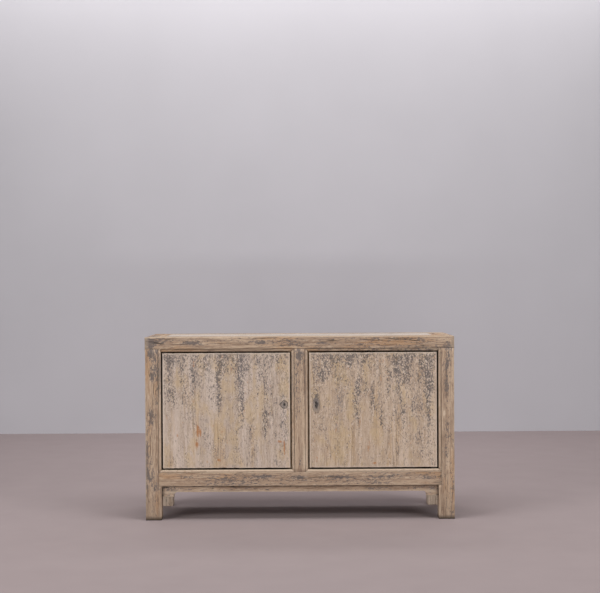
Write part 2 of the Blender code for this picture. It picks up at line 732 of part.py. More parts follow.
def make_back(top_back_rail):
    corners = rectangle(BACK_FRAME, (LEG_HEIGHT, RAIL_TOP))
    reach = BACK_HALF - SEAT
    rail = keep(extruded("back_bottom_rail", rounded(corners), "X", -reach, reach), FRAME_WOOD)
    thick = about(BACK_FRAME_MIDDLE, TENON_THICKNESS)
    for label, side in SIDES:
        tenon(
            rail,
            [pieces[f"post_back_{label}"]],
            spread(side, reach - ROOT, BACK_HALF + TENON_LENGTH),
            thick,
            (LEG_HEIGHT + TENON_SHOULDER, RAIL_TOP - TENON_SHOULDER),
        )
    stile_outline = rounded(rectangle((-BACK_STILE_HALF, BACK_STILE_HALF), BACK_FRAME))
    stile_ends = (RAIL_TOP + SEAT, TOP_UNDER - SEAT)
    stile = keep(extruded("back_stile", stile_outline, "Z", *stile_ends), FRAME_WOOD)
    stile_tenon = about(0, BACK_STILE_WIDTH - 2 * TENON_SHOULDER)
    tenon(stile, [rail], stile_tenon, thick, (RAIL_TOP - TENON_LENGTH, RAIL_TOP + ROOT))
    tenon(stile, [top_back_rail], stile_tenon, thick, (TOP_UNDER - ROOT, TOP_UNDER + TENON_LENGTH))
    zs = (RAIL_TOP - GROOVE_DEPTH, TOP_UNDER + GROOVE_DEPTH)
    ys = about(BACK_FRAME_MIDDLE, PANEL_THICKNESS)
    for label, side in SIDES:
        bay = spread(side, BACK_STILE_HALF - GROOVE_DEPTH, BACK_HALF + GROOVE_DEPTH)
        holders = [rail, stile, top_back_rail, pieces[f"post_back_{label}"]]
        cut_groove(f"back_{label}", bay, ys, zs, holders)
        for index, xs in enumerate(split(bay, 2)):
            keep(block(f"back_board_{label}_{index + 1}", xs, ys, zs), INNER_WOOD)
    return rail, stile


# Inside
def make_floor(front_rail, back_rail):
    reach_x = SIDE_RAIL_INNER + GROOVE_DEPTH
    reach_y = (FRAME_BACK - GROOVE_DEPTH, BACK_FRAME[0] + GROOVE_DEPTH)
    zs = (FLOOR_UNDER, FLOOR_TOP)
    above = grown(zs, OVERCUT)
    post_notches = []
    for label, side in SIDES:
        outer = HALF_WIDTH + OVERCUT
        front_xs = spread(side, OPENING_HALF - SEAT, outer)
        back_xs = spread(side, BACK_HALF - SEAT, outer)
        front_ys = (FRONT, FRONT_POST_BACK + SEAT)
        back_ys = (BACK_POST_FRONT - SEAT, BACK)
        post_notches.append(block(f"floor_front_{label}_notch", front_xs, front_ys, above))
        post_notches.append(block(f"floor_back_{label}_notch", back_xs, back_ys, above))
    holders = [front_rail, back_rail, pieces["side_rail_left"], pieces["side_rail_right"]]
    cut_groove("floor", (-reach_x, reach_x), reach_y, zs, holders)
    for index, ys in enumerate(split(reach_y, FLOOR_BOARDS)):
        board = keep(block(f"floor_board_{index + 1}", (-reach_x, reach_x), ys, zs), INNER_WOOD)
        for notch in post_notches:
            cut(board, notch)
    for label, side in SIDES:
        middle = side * FLOOR_BEARER_PLACE
        bearer_zs = (FLOOR_UNDER - SEAT - FLOOR_BEARER_HEIGHT, FLOOR_UNDER - SEAT)
        xs = about(middle, FLOOR_BEARER_WIDTH)
        ys = (FRAME_BACK + SEAT, BACK_FRAME[0] - SEAT)
        bearer = keep(block(f"floor_bearer_{label}", xs, ys, bearer_zs), INNER_WOOD)
        tenon_xs = grown(xs, -BEARER_SHOULDER)
        tenon_zs = grown(bearer_zs, -BEARER_SHOULDER)
        front_ys = (FRAME_BACK - BEARER_TENON_LENGTH, FRAME_BACK + ROOT)
        back_ys = (BACK_FRAME[0] - ROOT, BACK_FRAME[0] + BEARER_TENON_LENGTH)
        tenon(bearer, [front_rail], tenon_xs, front_ys, tenon_zs)
        tenon(bearer, [back_rail], tenon_xs, back_ys, tenon_zs)


def make_shelf(back_stile):
    bearer_zs = (SHELF_HEIGHT - SHELF_BEARER_HEIGHT, SHELF_HEIGHT)
    tenon_zs = grown(bearer_zs, -BEARER_SHOULDER)
    outer = PANEL_INNER - SHELF_BEARER_GAP - SHELF_BEARER_WIDTH / 2
    between_posts = (FRONT_POST_BACK, BACK_POST_FRONT)
    rests = [("middle", 0, (STOP_BACK, BACK_FRAME[0]), (pieces["door_stop_strip"], back_stile))]
    for label, side in SIDES:
        posts = (pieces[f"post_front_{label}"], pieces[f"post_back_{label}"])
        rests.append((label, side * outer, between_posts, posts))
    for label, middle, (near, far), (near_holder, far_holder) in rests:
        xs = about(middle, SHELF_BEARER_WIDTH)
        ys = (near + SEAT, far - SEAT)
        bearer = keep(block(f"shelf_bearer_{label}", xs, ys, bearer_zs), INNER_WOOD)
        tenon_xs = about(middle, BEARER_TENON_THICKNESS)
        tenon(bearer, [near_holder], tenon_xs, (near - BEARER_TENON_LENGTH, near + ROOT), tenon_zs)
        tenon(bearer, [far_holder], tenon_xs, (far - ROOT, far + BEARER_TENON_LENGTH), tenon_zs)
    reach_x = PANEL_INNER - SHELF_EDGE_GAP
    reach_y = (FRONT_POST_BACK + SHELF_EDGE_GAP, BACK_FRAME[0] - SHELF_EDGE_GAP)
    zs = (SHELF_HEIGHT + SEAT, SHELF_HEIGHT + SEAT + SHELF_THICKNESS)
    for index, ys in enumerate(split(reach_y, SHELF_BOARDS)):
        board = keep(block(f"shelf_board_{index + 1}", (-reach_x, reach_x), ys, zs), INNER_WOOD)
        for label, side in SIDES:
            xs = spread(side, BACK_HALF - SHELF_EDGE_GAP, HALF_WIDTH)
            notch_ys = (BACK_POST_FRONT - SHELF_EDGE_GAP, BACK)
            notch = block(f"shelf_{index + 1}_{label}_notch", xs, notch_ys, grown(zs, OVERCUT))
            cut(board, notch)


# Doors
def drill_pivot_holes(rail, top_rail):
    radius = PIVOT_RADIUS + PIVOT_CLEARANCE
    top_depth = PIVOT_TOP_LENGTH + PIVOT_LIFT
    for label, side in SIDES:
        foot_zs = (RAIL_TOP - PIVOT_SEAT_DEPTH, RAIL_TOP + OVERCUT)
        head_zs = (OPENING_TOP - OVERCUT, OPENING_TOP + top_depth)
        for holder, name, zs in ((rail, "foot", foot_zs), (top_rail, "head", head_zs)):
            centre = (side * PIVOT_X, PIVOT_Y, sum(zs) / 2)
            cut(holder, rod(f"{label}_pivot_{name}_hole", centre, radius, zs[1] - zs[0]))


def make_door(label, side, hinge_width, middle_width):
    """Three boards on two dovetailed battens; the hinge board carries the pivots."""
    hinge = bpy.data.objects.new(f"{label}_door_axis", None)
    hinge.location = (side * PIVOT_X, PIVOT_Y, DOOR_BOTTOM)
    sideboard.objects.link(hinge)
    ys = (DOOR_FRONT, DOOR_BACK)
    zs = (DOOR_BOTTOM, DOOR_TOP)
    first_seam = DOOR_OUTER - hinge_width
    second_seam = first_seam - middle_width
    ranges = (
        ("hinge", spread(side, first_seam + SEAT / 2, DOOR_OUTER)),
        ("middle", spread(side, second_seam + SEAT / 2, first_seam - SEAT / 2)),
        ("meeting", spread(side, DOOR_INNER, second_seam - SEAT / 2)),
    )
    boards = [
        keep(block(f"{label}_door_{name}_board", xs, ys, zs, front_ease=DOOR_EASE), DOOR_WOOD)
        for name, xs in ranges
    ]
    pin_ends = (
        ("foot", (RAIL_TOP - PIVOT_SEAT_DEPTH + SEAT, DOOR_BOTTOM + ROOT)),
        ("head", (DOOR_TOP - ROOT, OPENING_TOP + PIVOT_TOP_LENGTH)),
    )
    for name, pin_zs in pin_ends:
        centre = (side * PIVOT_X, PIVOT_Y, sum(pin_zs) / 2)
        pin = rod(f"{label}_door_{name}_pivot", centre, PIVOT_RADIUS, pin_zs[1] - pin_zs[0])
        combine(boards[0], pin, "UNION")
    for name, offset in (("lower", -PULL_HOLE_SPACING / 2), ("upper", PULL_HOLE_SPACING / 2)):
        centre = (side * (DOOR_INNER + PULL_INSET), PIVOT_Y, PULL_HEIGHT + offset)
        through = DOOR_THICKNESS + 2 * OVERCUT
        cut(boards[2], rod(f"{label}_pull_{name}_hole", centre, PULL_HOLE_RADIUS, through, "Y"))
    batten_xs = spread(side, STOP_WIDTH / 2 + DOOR_BATTEN_STOP_GAP, DOOR_OUTER - DOOR_BATTEN_SETBACK)
    slot_xs = spread(side, DOOR_INNER - OVERCUT, DOOR_OUTER - DOOR_BATTEN_SETBACK + SEAT)
    heights = (("lower", DOOR_BOTTOM + DOOR_BATTEN_PLACE), ("upper", DOOR_TOP - DOOR_BATTEN_PLACE))
    battens = []
    for name, height in heights:
        section = dovetail_section(DOOR_BATTEN_WIDTH, DOOR_BATTEN_PROUD)
        outline = [(DOOR_BACK - v, height + u) for u, v in section]
        slot = [(DOOR_BACK - v, height + u) for u, v in dovetail_slot()]
        batten = extruded(f"{label}_door_{name}_batten", outline, "X", *batten_xs)
        battens.append(keep(batten, INNER_WOOD))
        cutter = extruded(f"{label}_door_{name}_slot", slot, "X", *slot_xs)
        for board in boards:
            cut(board, cutter)
    bpy.context.view_layer.update()
    for piece in boards + battens:
        piece.parent = hinge
        piece.matrix_parent_inverse = hinge.matrix_world.inverted()


# Assembly
make_front_posts()
make_back_posts()
top_front, top_back = make_top_frame()
join_posts_to_top()
make_top_boards()
lower_rail = make_front_rail()
make_centre_stile(lower_rail, top_front)
make_front_apron(lower_rail)
make_sides()
lower_back_rail, back_stile = make_back(top_back)
make_floor(lower_rail, lower_back_rail)
make_shelf(back_stile)
drill_pivot_holes(lower_rail, top_front)
make_door("left", -1, LEFT_HINGE_BOARD, LEFT_MIDDLE_BOARD)
make_door("right", 1, RIGHT_HINGE_BOARD, RIGHT_MIDDLE_BOARD)
bpy.context.view_layer.update()
print(f"{len(pieces)} pieces")
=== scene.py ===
# %% [markdown]
# # A weathered two-door sideboard
#
# The cabinet is old softwood: square posts, a thick framed top, a beaded front frame and two plank
# doors on wooden pivots. The joinery is already modelled and packed. This lesson gives every timber
# its worn skin: soft arrises, raised grain, dents, bleached colour and the remains of grey paint.

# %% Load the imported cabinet
import itertools
import json
import math

import bmesh
import bpy
from mathutils import Matrix, Vector, noise


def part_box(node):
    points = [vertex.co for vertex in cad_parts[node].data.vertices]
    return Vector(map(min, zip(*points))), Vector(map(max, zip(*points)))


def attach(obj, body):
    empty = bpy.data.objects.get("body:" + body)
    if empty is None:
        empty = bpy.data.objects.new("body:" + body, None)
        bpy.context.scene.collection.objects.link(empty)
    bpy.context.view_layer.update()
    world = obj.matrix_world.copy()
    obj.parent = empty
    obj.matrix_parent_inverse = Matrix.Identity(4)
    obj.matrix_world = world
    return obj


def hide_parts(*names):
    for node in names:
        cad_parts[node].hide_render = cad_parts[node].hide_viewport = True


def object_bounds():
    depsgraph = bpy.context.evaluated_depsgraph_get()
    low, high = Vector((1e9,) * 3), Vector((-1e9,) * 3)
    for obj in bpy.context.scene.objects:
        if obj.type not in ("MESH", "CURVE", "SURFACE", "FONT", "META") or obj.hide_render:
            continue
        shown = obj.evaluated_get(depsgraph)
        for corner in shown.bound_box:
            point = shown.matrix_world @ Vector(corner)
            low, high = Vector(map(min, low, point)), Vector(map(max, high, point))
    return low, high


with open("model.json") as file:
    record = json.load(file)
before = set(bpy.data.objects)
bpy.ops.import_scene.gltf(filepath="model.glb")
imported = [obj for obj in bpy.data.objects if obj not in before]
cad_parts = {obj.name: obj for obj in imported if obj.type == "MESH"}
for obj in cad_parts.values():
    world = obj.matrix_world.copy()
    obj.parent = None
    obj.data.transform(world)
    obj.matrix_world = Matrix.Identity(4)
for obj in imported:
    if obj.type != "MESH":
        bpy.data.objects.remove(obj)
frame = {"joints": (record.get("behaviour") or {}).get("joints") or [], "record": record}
cad_low, cad_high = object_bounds()
record = frame["record"]
body_of = {node: body for body, nodes in record["behaviour"]["bodies"].items() for node in nodes}
slot_of = {part["node"]: part["material_slot"] for part in record["subparts"]}
print("nodes", len(body_of), "box", tuple(cad_low), tuple(cad_high))

# %% [markdown]
# ## Where the timbers lie
#
# Nothing is typed twice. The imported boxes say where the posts, rails and doors lie, so each visible
# timber takes its ends from the neighbours that it runs between. X is across the front, Y goes to the
# back and Z is up.

# %% Read the main places from the frame
X, Y, Z = range(3)
HALF_WIDTH = cad_high.x
FRONT, BACK = cad_low.y, cad_high.y
HEIGHT = cad_high.z
OPENING_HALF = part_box("post_front_right")[0].x
BACK_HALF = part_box("post_back_right")[0].x
FRONT_POST_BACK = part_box("post_front_right")[1].y
BACK_POST_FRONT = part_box("post_back_right")[0].y
TOP_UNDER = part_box("top_left_rail")[0].z
OPENING_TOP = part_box("top_front_rail")[0].z
FIELD_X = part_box("top_right_rail")[0].x
FIELD_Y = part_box("top_back_rail")[0].y
LEG_HEIGHT, RAIL_TOP = (corner.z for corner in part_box("front_bottom_rail"))
FRAME_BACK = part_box("front_bottom_rail")[1].y
BACK_FRAME_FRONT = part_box("back_bottom_rail")[0].y
STILE_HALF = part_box("centre_stile")[1].x
STILE_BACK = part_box("centre_stile")[1].y
STOP_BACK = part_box("door_stop_strip")[1].y
DOOR_LOW, DOOR_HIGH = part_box("left_door_middle_board")
BEAD = TOP_UNDER - OPENING_TOP
print("opening", OPENING_HALF * 2, "by", OPENING_TOP - RAIL_TOP, "bead", BEAD)

# %% [markdown]
# ## Camera
#
# The photograph is taken almost square to the front, from far away with a long lens and from a little
# above the top. Its horizon lies above the middle of the picture, so the camera looks down by half a
# degree. The picture also leans a third of a degree, and the camera leans with it.

# %% Place the camera
IMAGE_WIDTH, IMAGE_HEIGHT = 600, 593
FOCAL_PIXELS = 1262
HORIZON_ROW = 286
CAMERA_DISTANCE = 5.5
CAMERA_HEIGHT = 1.02
CAMERA_SIDE = 0.004
CAMERA_LEAN = math.radians(0.32)
SENSOR = 36.0

camera_data = bpy.data.cameras.new("front_camera")
camera_data.sensor_width = SENSOR
camera_data.lens = SENSOR * FOCAL_PIXELS / IMAGE_WIDTH
camera = bpy.data.objects.new("front_camera", camera_data)
camera.location = (CAMERA_SIDE, FRONT - CAMERA_DISTANCE, CAMERA_HEIGHT)
look_down = math.atan((IMAGE_HEIGHT / 2 - HORIZON_ROW) / FOCAL_PIXELS)
camera.rotation_euler = (math.pi / 2 - look_down, CAMERA_LEAN, 0)
bpy.context.scene.collection.objects.link(camera)
bpy.context.scene.camera = camera
bpy.context.scene.view_settings.view_transform = "Standard"
print("lens", round(camera_data.lens, 2), "mm")

# %% [markdown]
# ## Studio
#
# A pale floor runs back to a pale plaster wall. Both are one plain tone with a faint cloudy mottle, so
# a noise mixes two nearly equal colours. The wall is clear from behind, so that the cabinet's back can
# be looked at through it: the Geometry node's Backfacing output chooses a Transparent shader there.

# %% Define the studio's materials
FLOOR_COLOUR = (163, 149, 149)
WALL_COLOUR = (197, 194, 199)
FLOOR_MOTTLE = {"mottle": 0.05, "scale": 6}
WALL_MOTTLE = {"mottle": 0.06, "scale": 1.3}
MOTTLE_DETAIL = 5
STUDIO_ROUGHNESS = 0.95
STUDIO_GLOSS = 0.1
# A Mix node holds sockets for numbers, vectors and colours; these are the places of its colours.
MIX_FIRST, MIX_SECOND, MIX_RESULT = 6, 7, 2


def srgb(red, green, blue):
    """A colour as a picture stores it (0 to 255), turned into the linear numbers that a shader uses.

    The fixed numbers are those of the sRGB curve."""
    channels = []
    for value in (red / 255, green / 255, blue / 255):
        channels.append(value / 12.92 if value <= 0.04045 else ((value + 0.055) / 1.055) ** 2.4)
    return (*channels, 1.0)


def plain_material(name, colour, mottle, scale):
    material = bpy.data.materials.new(name)
    material.use_nodes = True
    nodes, links = material.node_tree.nodes, material.node_tree.links
    shader = nodes["Principled BSDF"]
    shader.inputs["Roughness"].default_value = STUDIO_ROUGHNESS
    shader.inputs["Specular IOR Level"].default_value = STUDIO_GLOSS
    where = nodes.new("ShaderNodeTexCoord")
    cloud = nodes.new("ShaderNodeTexNoise")
    cloud.inputs["Scale"].default_value = scale
    cloud.inputs["Detail"].default_value = MOTTLE_DETAIL
    tone = nodes.new("ShaderNodeMix")
    tone.data_type = "RGBA"
    for socket, share in ((MIX_FIRST, 1 - mottle), (MIX_SECOND, 1 + mottle)):
        tone.inputs[socket].default_value = (*(channel * share for channel in colour[:3]), 1)
    links.new(where.outputs["Object"], cloud.inputs["Vector"])
    links.new(cloud.outputs["Fac"], tone.inputs["Factor"])
    links.new(tone.outputs[MIX_RESULT], shader.inputs["Base Color"])
    return material


def clear_from_behind(material):
    nodes, links = material.node_tree.nodes, material.node_tree.links
    behind = nodes.new("ShaderNodeNewGeometry")
    clear = nodes.new("ShaderNodeBsdfTransparent")
    choose = nodes.new("ShaderNodeMixShader")
    links.new(behind.outputs["Backfacing"], choose.inputs["Fac"])
    links.new(nodes["Principled BSDF"].outputs["BSDF"], choose.inputs[1])
    links.new(clear.outputs["BSDF"], choose.inputs[2])
    links.new(choose.outputs["Shader"], nodes["Material Output"].inputs["Surface"])
    return material


floor_material = plain_material("studio_floor", srgb(*FLOOR_COLOUR), **FLOOR_MOTTLE)
wall_material = clear_from_behind(plain_material("studio_wall", srgb(*WALL_COLOUR), **WALL_MOTTLE))
print("studio materials", floor_material.name, wall_material.name)

# %% [markdown]
# One bmesh grid makes the floor, and its far edge is extruded upwards to make the wall. The floor is
# only as long as the lamps reach, so that no unlit strip shows from the back.

# %% Make the floor and the wall
FLOOR_HALF = 3.5
WALL_PLACE = 3.08
WALL_HEIGHT = 4.5
LEVEL = 0.5


def verts_of(geometry):
    return [item for item in geometry if isinstance(item, bmesh.types.BMVert)]


stage_bm = bmesh.new()
bmesh.ops.create_grid(stage_bm, x_segments=1, y_segments=1, size=FLOOR_HALF)
bmesh.ops.translate(stage_bm, vec=(0, WALL_PLACE - FLOOR_HALF, 0), verts=stage_bm.verts)
far_edge = [edge for edge in stage_bm.edges if all(vert.co.y > 0 for vert in edge.verts)]
risen = bmesh.ops.extrude_edge_only(stage_bm, edges=far_edge)["geom"]
bmesh.ops.translate(stage_bm, vec=(0, 0, WALL_HEIGHT), verts=verts_of(risen))
bmesh.ops.recalc_face_normals(stage_bm, faces=stage_bm.faces)
if any(face.normal.z < -LEVEL for face in stage_bm.faces):
    bmesh.ops.reverse_faces(stage_bm, faces=stage_bm.faces)
stage_mesh = bpy.data.meshes.new("studio")
stage_mesh.materials.append(floor_material)
stage_mesh.materials.append(wall_material)
for face in stage_bm.faces:
    face.material_index = int(abs(face.normal.z) < LEVEL)
stage_bm.to_mesh(stage_mesh)
stage_bm.free()
studio = bpy.data.objects.new("studio", stage_mesh)
bpy.context.scene.collection.objects.link(studio)
print("studio faces", len(stage_mesh.polygons))

# %% [markdown]
# The light is soft and comes from above and from both sides in front, as the shadows below the cabinet
# show. Large area lamps do that. Three low ones, just outside the floor, reach the back legs, and one
# serves the wall. The room around gives little light, but a Light Path node makes it pale wherever it is
# looked at or mirrored.

# %% Hang the lamps and tone the room
AT_FRONT = (0, 0, 0.35)
AT_LEGS = (0, 0, 0.2)
ROOM_COLOUR = (0.95, 0.96, 1.0, 1)
ROOM_LIGHT = 0.03
ROOM_SEEN = 0.45


def area_lamp(name, place, target, size, power):
    data = bpy.data.lights.new(name, "AREA")
    data.shape = "RECTANGLE"
    data.size, data.size_y = size
    data.energy = power
    lamp = bpy.data.objects.new(name, data)
    lamp.location = place
    lamp.rotation_euler = (Vector(target) - Vector(place)).to_track_quat("-Z", "Y").to_euler()
    lamp.visible_camera = False
    bpy.context.scene.collection.objects.link(lamp)


def pale_room(world, lit, seen):
    """The room gives little light, but it is pale where it is looked at or mirrored."""
    nodes, links = world.node_tree.nodes, world.node_tree.links
    ray = nodes.new("ShaderNodeLightPath")
    total = None
    for kind in ("Is Camera Ray", "Is Glossy Ray", "Is Transmission Ray"):
        step = nodes.new("ShaderNodeMath")
        step.operation = "MULTIPLY_ADD"
        links.new(ray.outputs[kind], step.inputs[0])
        step.inputs[1].default_value = seen
        step.inputs[2].default_value = lit
        if total:
            links.new(total, step.inputs[2])
        total = step.outputs[0]
    links.new(total, nodes["Background"].inputs["Strength"])


area_lamp("left_softbox", place=(-3.4, -3.2, 2.7), target=AT_FRONT, size=(2.0, 1.4), power=73)
area_lamp("right_softbox", place=(3.4, -3.2, 2.7), target=AT_FRONT, size=(2.0, 1.4), power=63)
area_lamp("left_low_light", place=(-4.6, -3.0, 0.24), target=AT_LEGS, size=(1.6, 0.3), power=30)
area_lamp("right_low_light", place=(4.6, -3.0, 0.24), target=AT_LEGS, size=(1.6, 0.3), power=28)
area_lamp("front_low_light", place=(0, -5.0, 0.2), target=AT_LEGS, size=(2.4, 0.2), power=58)
area_lamp("overhead", place=(0, -0.8, 3.6), target=(0, -0.2, 0), size=(4.4, 1.5), power=88)
area_lamp("wall_light", place=(0, 2.4, 3.9), target=(0, 3.0, 0.4), size=(6.0, 1.0), power=80)
world = bpy.data.worlds.new("soft_room")
world.use_nodes = True
world.node_tree.nodes["Background"].inputs["Color"].default_value = ROOM_COLOUR
pale_room(world, ROOM_LIGHT, ROOM_SEEN)
bpy.context.scene.world = world
print("lamps", len(bpy.data.lights))

# %% [markdown]
# ## A small kit for wood finishes
#
# Every finish here is old wood, so the node trees share their bricks: stretched noise for the fibres,
# contour lines of a slow noise for the growth rings, a soft threshold for stains and pits. A short
# class wires those bricks, and a finish then reads as a recipe instead of a page of links.

# %% Define the node kit
WOOD_GLOSS = 0.25


class WoodRecipe:
    """One material whose nodes are added and wired by short calls."""

    def __init__(self, name):
        self.material = bpy.data.materials.new(name)
        self.material.use_nodes = True
        self.tree = self.material.node_tree
        self.shader = self.tree.nodes["Principled BSDF"]
        self.shader.inputs["Specular IOR Level"].default_value = WOOD_GLOSS
        self.place = self.tree.nodes.new("ShaderNodeTexCoord").outputs["Object"]

    def feed(self, socket, value):
        if isinstance(value, bpy.types.NodeSocket):
            self.tree.links.new(value, socket)
        else:
            socket.default_value = value

    def mapped(self, scale, shift=(0, 0, 0)):
        node = self.tree.nodes.new("ShaderNodeMapping")
        self.feed(node.inputs["Vector"], self.place)
        node.inputs["Location"].default_value = shift
        node.inputs["Scale"].default_value = scale
        return node.outputs["Vector"]

    def noise(self, where, scale, detail, rough, twist=0.0):
        node = self.tree.nodes.new("ShaderNodeTexNoise")
        self.feed(node.inputs["Vector"], where)
        node.inputs["Scale"].default_value = scale
        node.inputs["Detail"].default_value = detail
        node.inputs["Roughness"].default_value = rough
        node.inputs["Distortion"].default_value = twist
        return node.outputs["Fac"]

    def math(self, operation, first, second=0.0):
        node = self.tree.nodes.new("ShaderNodeMath")
        node.operation = operation
        self.feed(node.inputs[0], first)
        self.feed(node.inputs[1], second)
        return node.outputs[0]

    def plus(self, base, value, share):
        """The base with a share of another value added to it."""
        return self.math("ADD", base, self.math("MULTIPLY", value, share))

    def soft_step(self, value, start, stop, low=0.0, high=1.0):
        node = self.tree.nodes.new("ShaderNodeMapRange")
        node.interpolation_type = "SMOOTHSTEP"
        self.feed(node.inputs["Value"], value)
        for name, number in zip(("From Min", "From Max", "To Min", "To Max"), (start, stop, low, high)):
            node.inputs[name].default_value = number
        return node.outputs["Result"]

    def blend(self, amount, first, second):
        node = self.tree.nodes.new("ShaderNodeMix")
        node.data_type = "RGBA"
        self.feed(node.inputs["Factor"], amount)
        self.feed(node.inputs[MIX_FIRST], first)
        self.feed(node.inputs[MIX_SECOND], second)
        return node.outputs[MIX_RESULT]

    def tinted(self, colour, tint, value, limits, strength):
        """The colour, turned towards a tint where a value passes from the first limit to the second."""
        return self.blend(self.soft_step(value, *limits, 0.0, strength), colour, tint)

    def painted(self, name):
        """A number that was stored on the mesh's points under this name."""
        node = self.tree.nodes.new("ShaderNodeAttribute")
        node.attribute_name = name
        return node.outputs["Fac"]

    def away_from(self, middle, size):
        """Distance on the front from a middle (x, z), counted in sizes, so it is 1 on an ellipse."""
        scale = (1 / size[0], 0, 1 / size[1])
        node = self.tree.nodes.new("ShaderNodeVectorMath")
        node.operation = "LENGTH"
        self.feed(node.inputs[0], self.mapped(scale, (-middle[0] * scale[0], 0, -middle[1] * scale[2])))
        return node.outputs["Value"]

    def finish(self, colour, roughness, height, depth):
        bump = self.tree.nodes.new("ShaderNodeBump")
        bump.inputs["Distance"].default_value = depth
        self.feed(bump.inputs["Height"], height)
        self.feed(self.shader.inputs["Base Color"], colour)
        self.feed(self.shader.inputs["Roughness"], roughness)
        self.feed(self.shader.inputs["Normal"], bump.outputs["Normal"])
        return self.material


print("node kit ready")

# %% [markdown]
# ## The colours of the woods
#
# The front frame is brown and grey, the top is bleached, the inside stayed brown, and the doors are pale.
# Each wood has the same list of tones: clean and pale wood, the rings, warm patches, stain and the worn
# arrises. It also has a stain limit and the strengths of its grain and its drying checks. The back
# posts and the right door differ a little from their kind, so they only list what differs. The back
# posts are paler as painted light, since they stand in the cabinet's shade.

# %% List the colours
PALETTES = {
    "frame_wood": {
        "clean": srgb(167, 142, 120),
        "pale": srgb(187, 163, 140),
        "ring": srgb(122, 99, 83),
        "warm": srgb(178, 138, 100),
        "stain": srgb(90, 86, 88),
        "worn": srgb(200, 179, 157),
        "stain_from": 0.585,
        "grain": 0.65,
        "checks": 0.65,
    },
    "top_wood": {
        "clean": srgb(187, 173, 163),
        "pale": srgb(199, 187, 178),
        "ring": srgb(154, 137, 124),
        "warm": srgb(184, 160, 136),
        "stain": srgb(130, 123, 120),
        "worn": srgb(207, 194, 182),
        "stain_from": 0.62,
        "grain": 0.6,
        "checks": 0.55,
    },
    "inner_wood": {
        "clean": srgb(150, 122, 94),
        "pale": srgb(166, 138, 108),
        "ring": srgb(108, 82, 60),
        "warm": srgb(158, 116, 78),
        "stain": srgb(92, 80, 70),
        "worn": srgb(176, 148, 116),
        "stain_from": 0.62,
        "grain": 0.7,
        "checks": 0.65,
    },
    "door_wood": {
        "clean": srgb(180, 162, 148),
        "pale": srgb(200, 183, 171),
        "ring": srgb(160, 138, 118),
        "warm": srgb(188, 158, 124),
        "stain": srgb(124, 116, 113),
        "worn": srgb(208, 190, 173),
        "stain_from": 0.64,
        "grain": 0.38,
        "checks": 0.3,
    },
}
# Paler tones and less stain for the back posts: painted light, since they stand in the cabinet's shade.
BACK_POST_PAINTED_LIGHT = {
    "clean": srgb(196, 173, 153),
    "pale": srgb(209, 189, 170),
    "ring": srgb(150, 126, 106),
    "worn": srgb(214, 196, 178),
    "stain_from": 0.68,
}
DOOR_TINTS = {
    "left": {},
    "right": {"clean": srgb(178, 156, 136), "pale": srgb(197, 176, 157), "ring": srgb(154, 129, 106)},
}
# A dark brown for dirt and drying checks, and for painted shade in gaps and under overhangs.
GRIME_AND_SHADE = srgb(40, 33, 29)
print("palettes", list(PALETTES))

# %% [markdown]
# ## The weathered softwood finish
#
# Old bare softwood has patterns at several scales. Slow contour lines are the growth rings, dashes and
# threads are the fibres, and grey specks, thick in some patches, are dirt and old finish that stayed in
# the pores. Thin dark checks come from drying. All of it runs with the grain, so the noise is squeezed
# along the grain axis. A knot bends the rings, so a swirl adds a bulge to the slow noise.

# %% List the layers of the bare wood
FIBRE_SQUEEZE = 0.05
DASH_SQUEEZE = 0.12
PATCH_SQUEEZE = 0.16
GRIT_SQUEEZE = 0.4
SEED_STEPS = (1.37, 2.11, 0.73)
RING_COUNT = 95.0
# Each noise has a scale, a detail, a roughness and, where it is bent, a twist.
NOISES = {
    "tone": (26.0, 4.0, 0.65),
    "rings": (6.5, 2.5, 0.55, 0.9),
    "warmth": (17.0, 3.0, 0.6),
    "dashes": (185.0, 3.0, 0.62, 0.5),
    "patches": (15.0, 5.0, 0.6),
    "grit": (165.0, 4.0, 0.76),
    "threads": (760.0, 3.0, 0.7),
    "splits": (38.0, 2.0, 0.5, 0.4),
}
# A layer starts to show at its first limit and shows fully at the second. Those of the stain are
# counted from the limit in the wood's own list.
LIMITS = {
    "tone": (0.38, 0.62),
    "rings": (0.1, 1.0),
    "warmth": (0.52, 0.66),
    "dark dashes": (0.52, 0.68),
    "pale dashes": (0.46, 0.33),
    "stain": (-0.04, 0.09),
    "pits": (0.63, 0.71),
    "dark threads": (0.53, 0.62),
    "pale threads": (0.46, 0.37),
    "splits": (0.014, 0.003),
    "split places": (0.5, 0.56),
    "rubbed": (0.36, 0.56),
}
STRENGTHS = {
    "rings": 0.7,
    "warmth": 0.6,
    "pale dashes": 0.6,
    "stain": 0.84,
    "pits": 0.55,
    "dark threads": 0.45,
    "pale threads": 0.32,
    "grime_and_shade": 0.95,
}
RELIEF = {"dashes": -0.7, "rings": -0.1, "threads": -0.6, "pits": -0.7, "checks": -0.8}
GRIT_IN_STAIN = 1.4
SOOT_IN_STAIN = 0.27
NOISE_MIDDLE = 0.5
SWIRL_RINGS = 0.32
SWIRLS = {
    "front_bottom_rail": ((0.015, 0.186), (0.11, 0.026)),
    "left_door_meeting_board": ((-0.068, 0.503), (0.075, 0.19)),
    "right_door_meeting_board": ((0.073, 0.500), (0.060, 0.15)),
}
print("layers", len(NOISES), "swirls", len(SWIRLS))

# %% [markdown]
# The recipe lays these over each other, from broad tones to fine threads and checks. It also adds some
# of them up to a height for the bump, so that dark pores and checks are hollow. The mesh stores where
# soot, worn arrises, grime and painted shade are, with a painted highlight on the lower rail's bead, and
# the recipe reads those numbers as attributes.

# %% Define the bare wood, its wear and dirt, and painted light
TIMBER_ROUGHNESS = (0.35, 0.65, 0.78, 0.92)
TIMBER_BUMP = 0.0012
TIMBER_RUB = (0.25, 0.85)


def squeezed(grain, amount):
    return tuple(amount if axis == grain else 1.0 for axis in range(3))


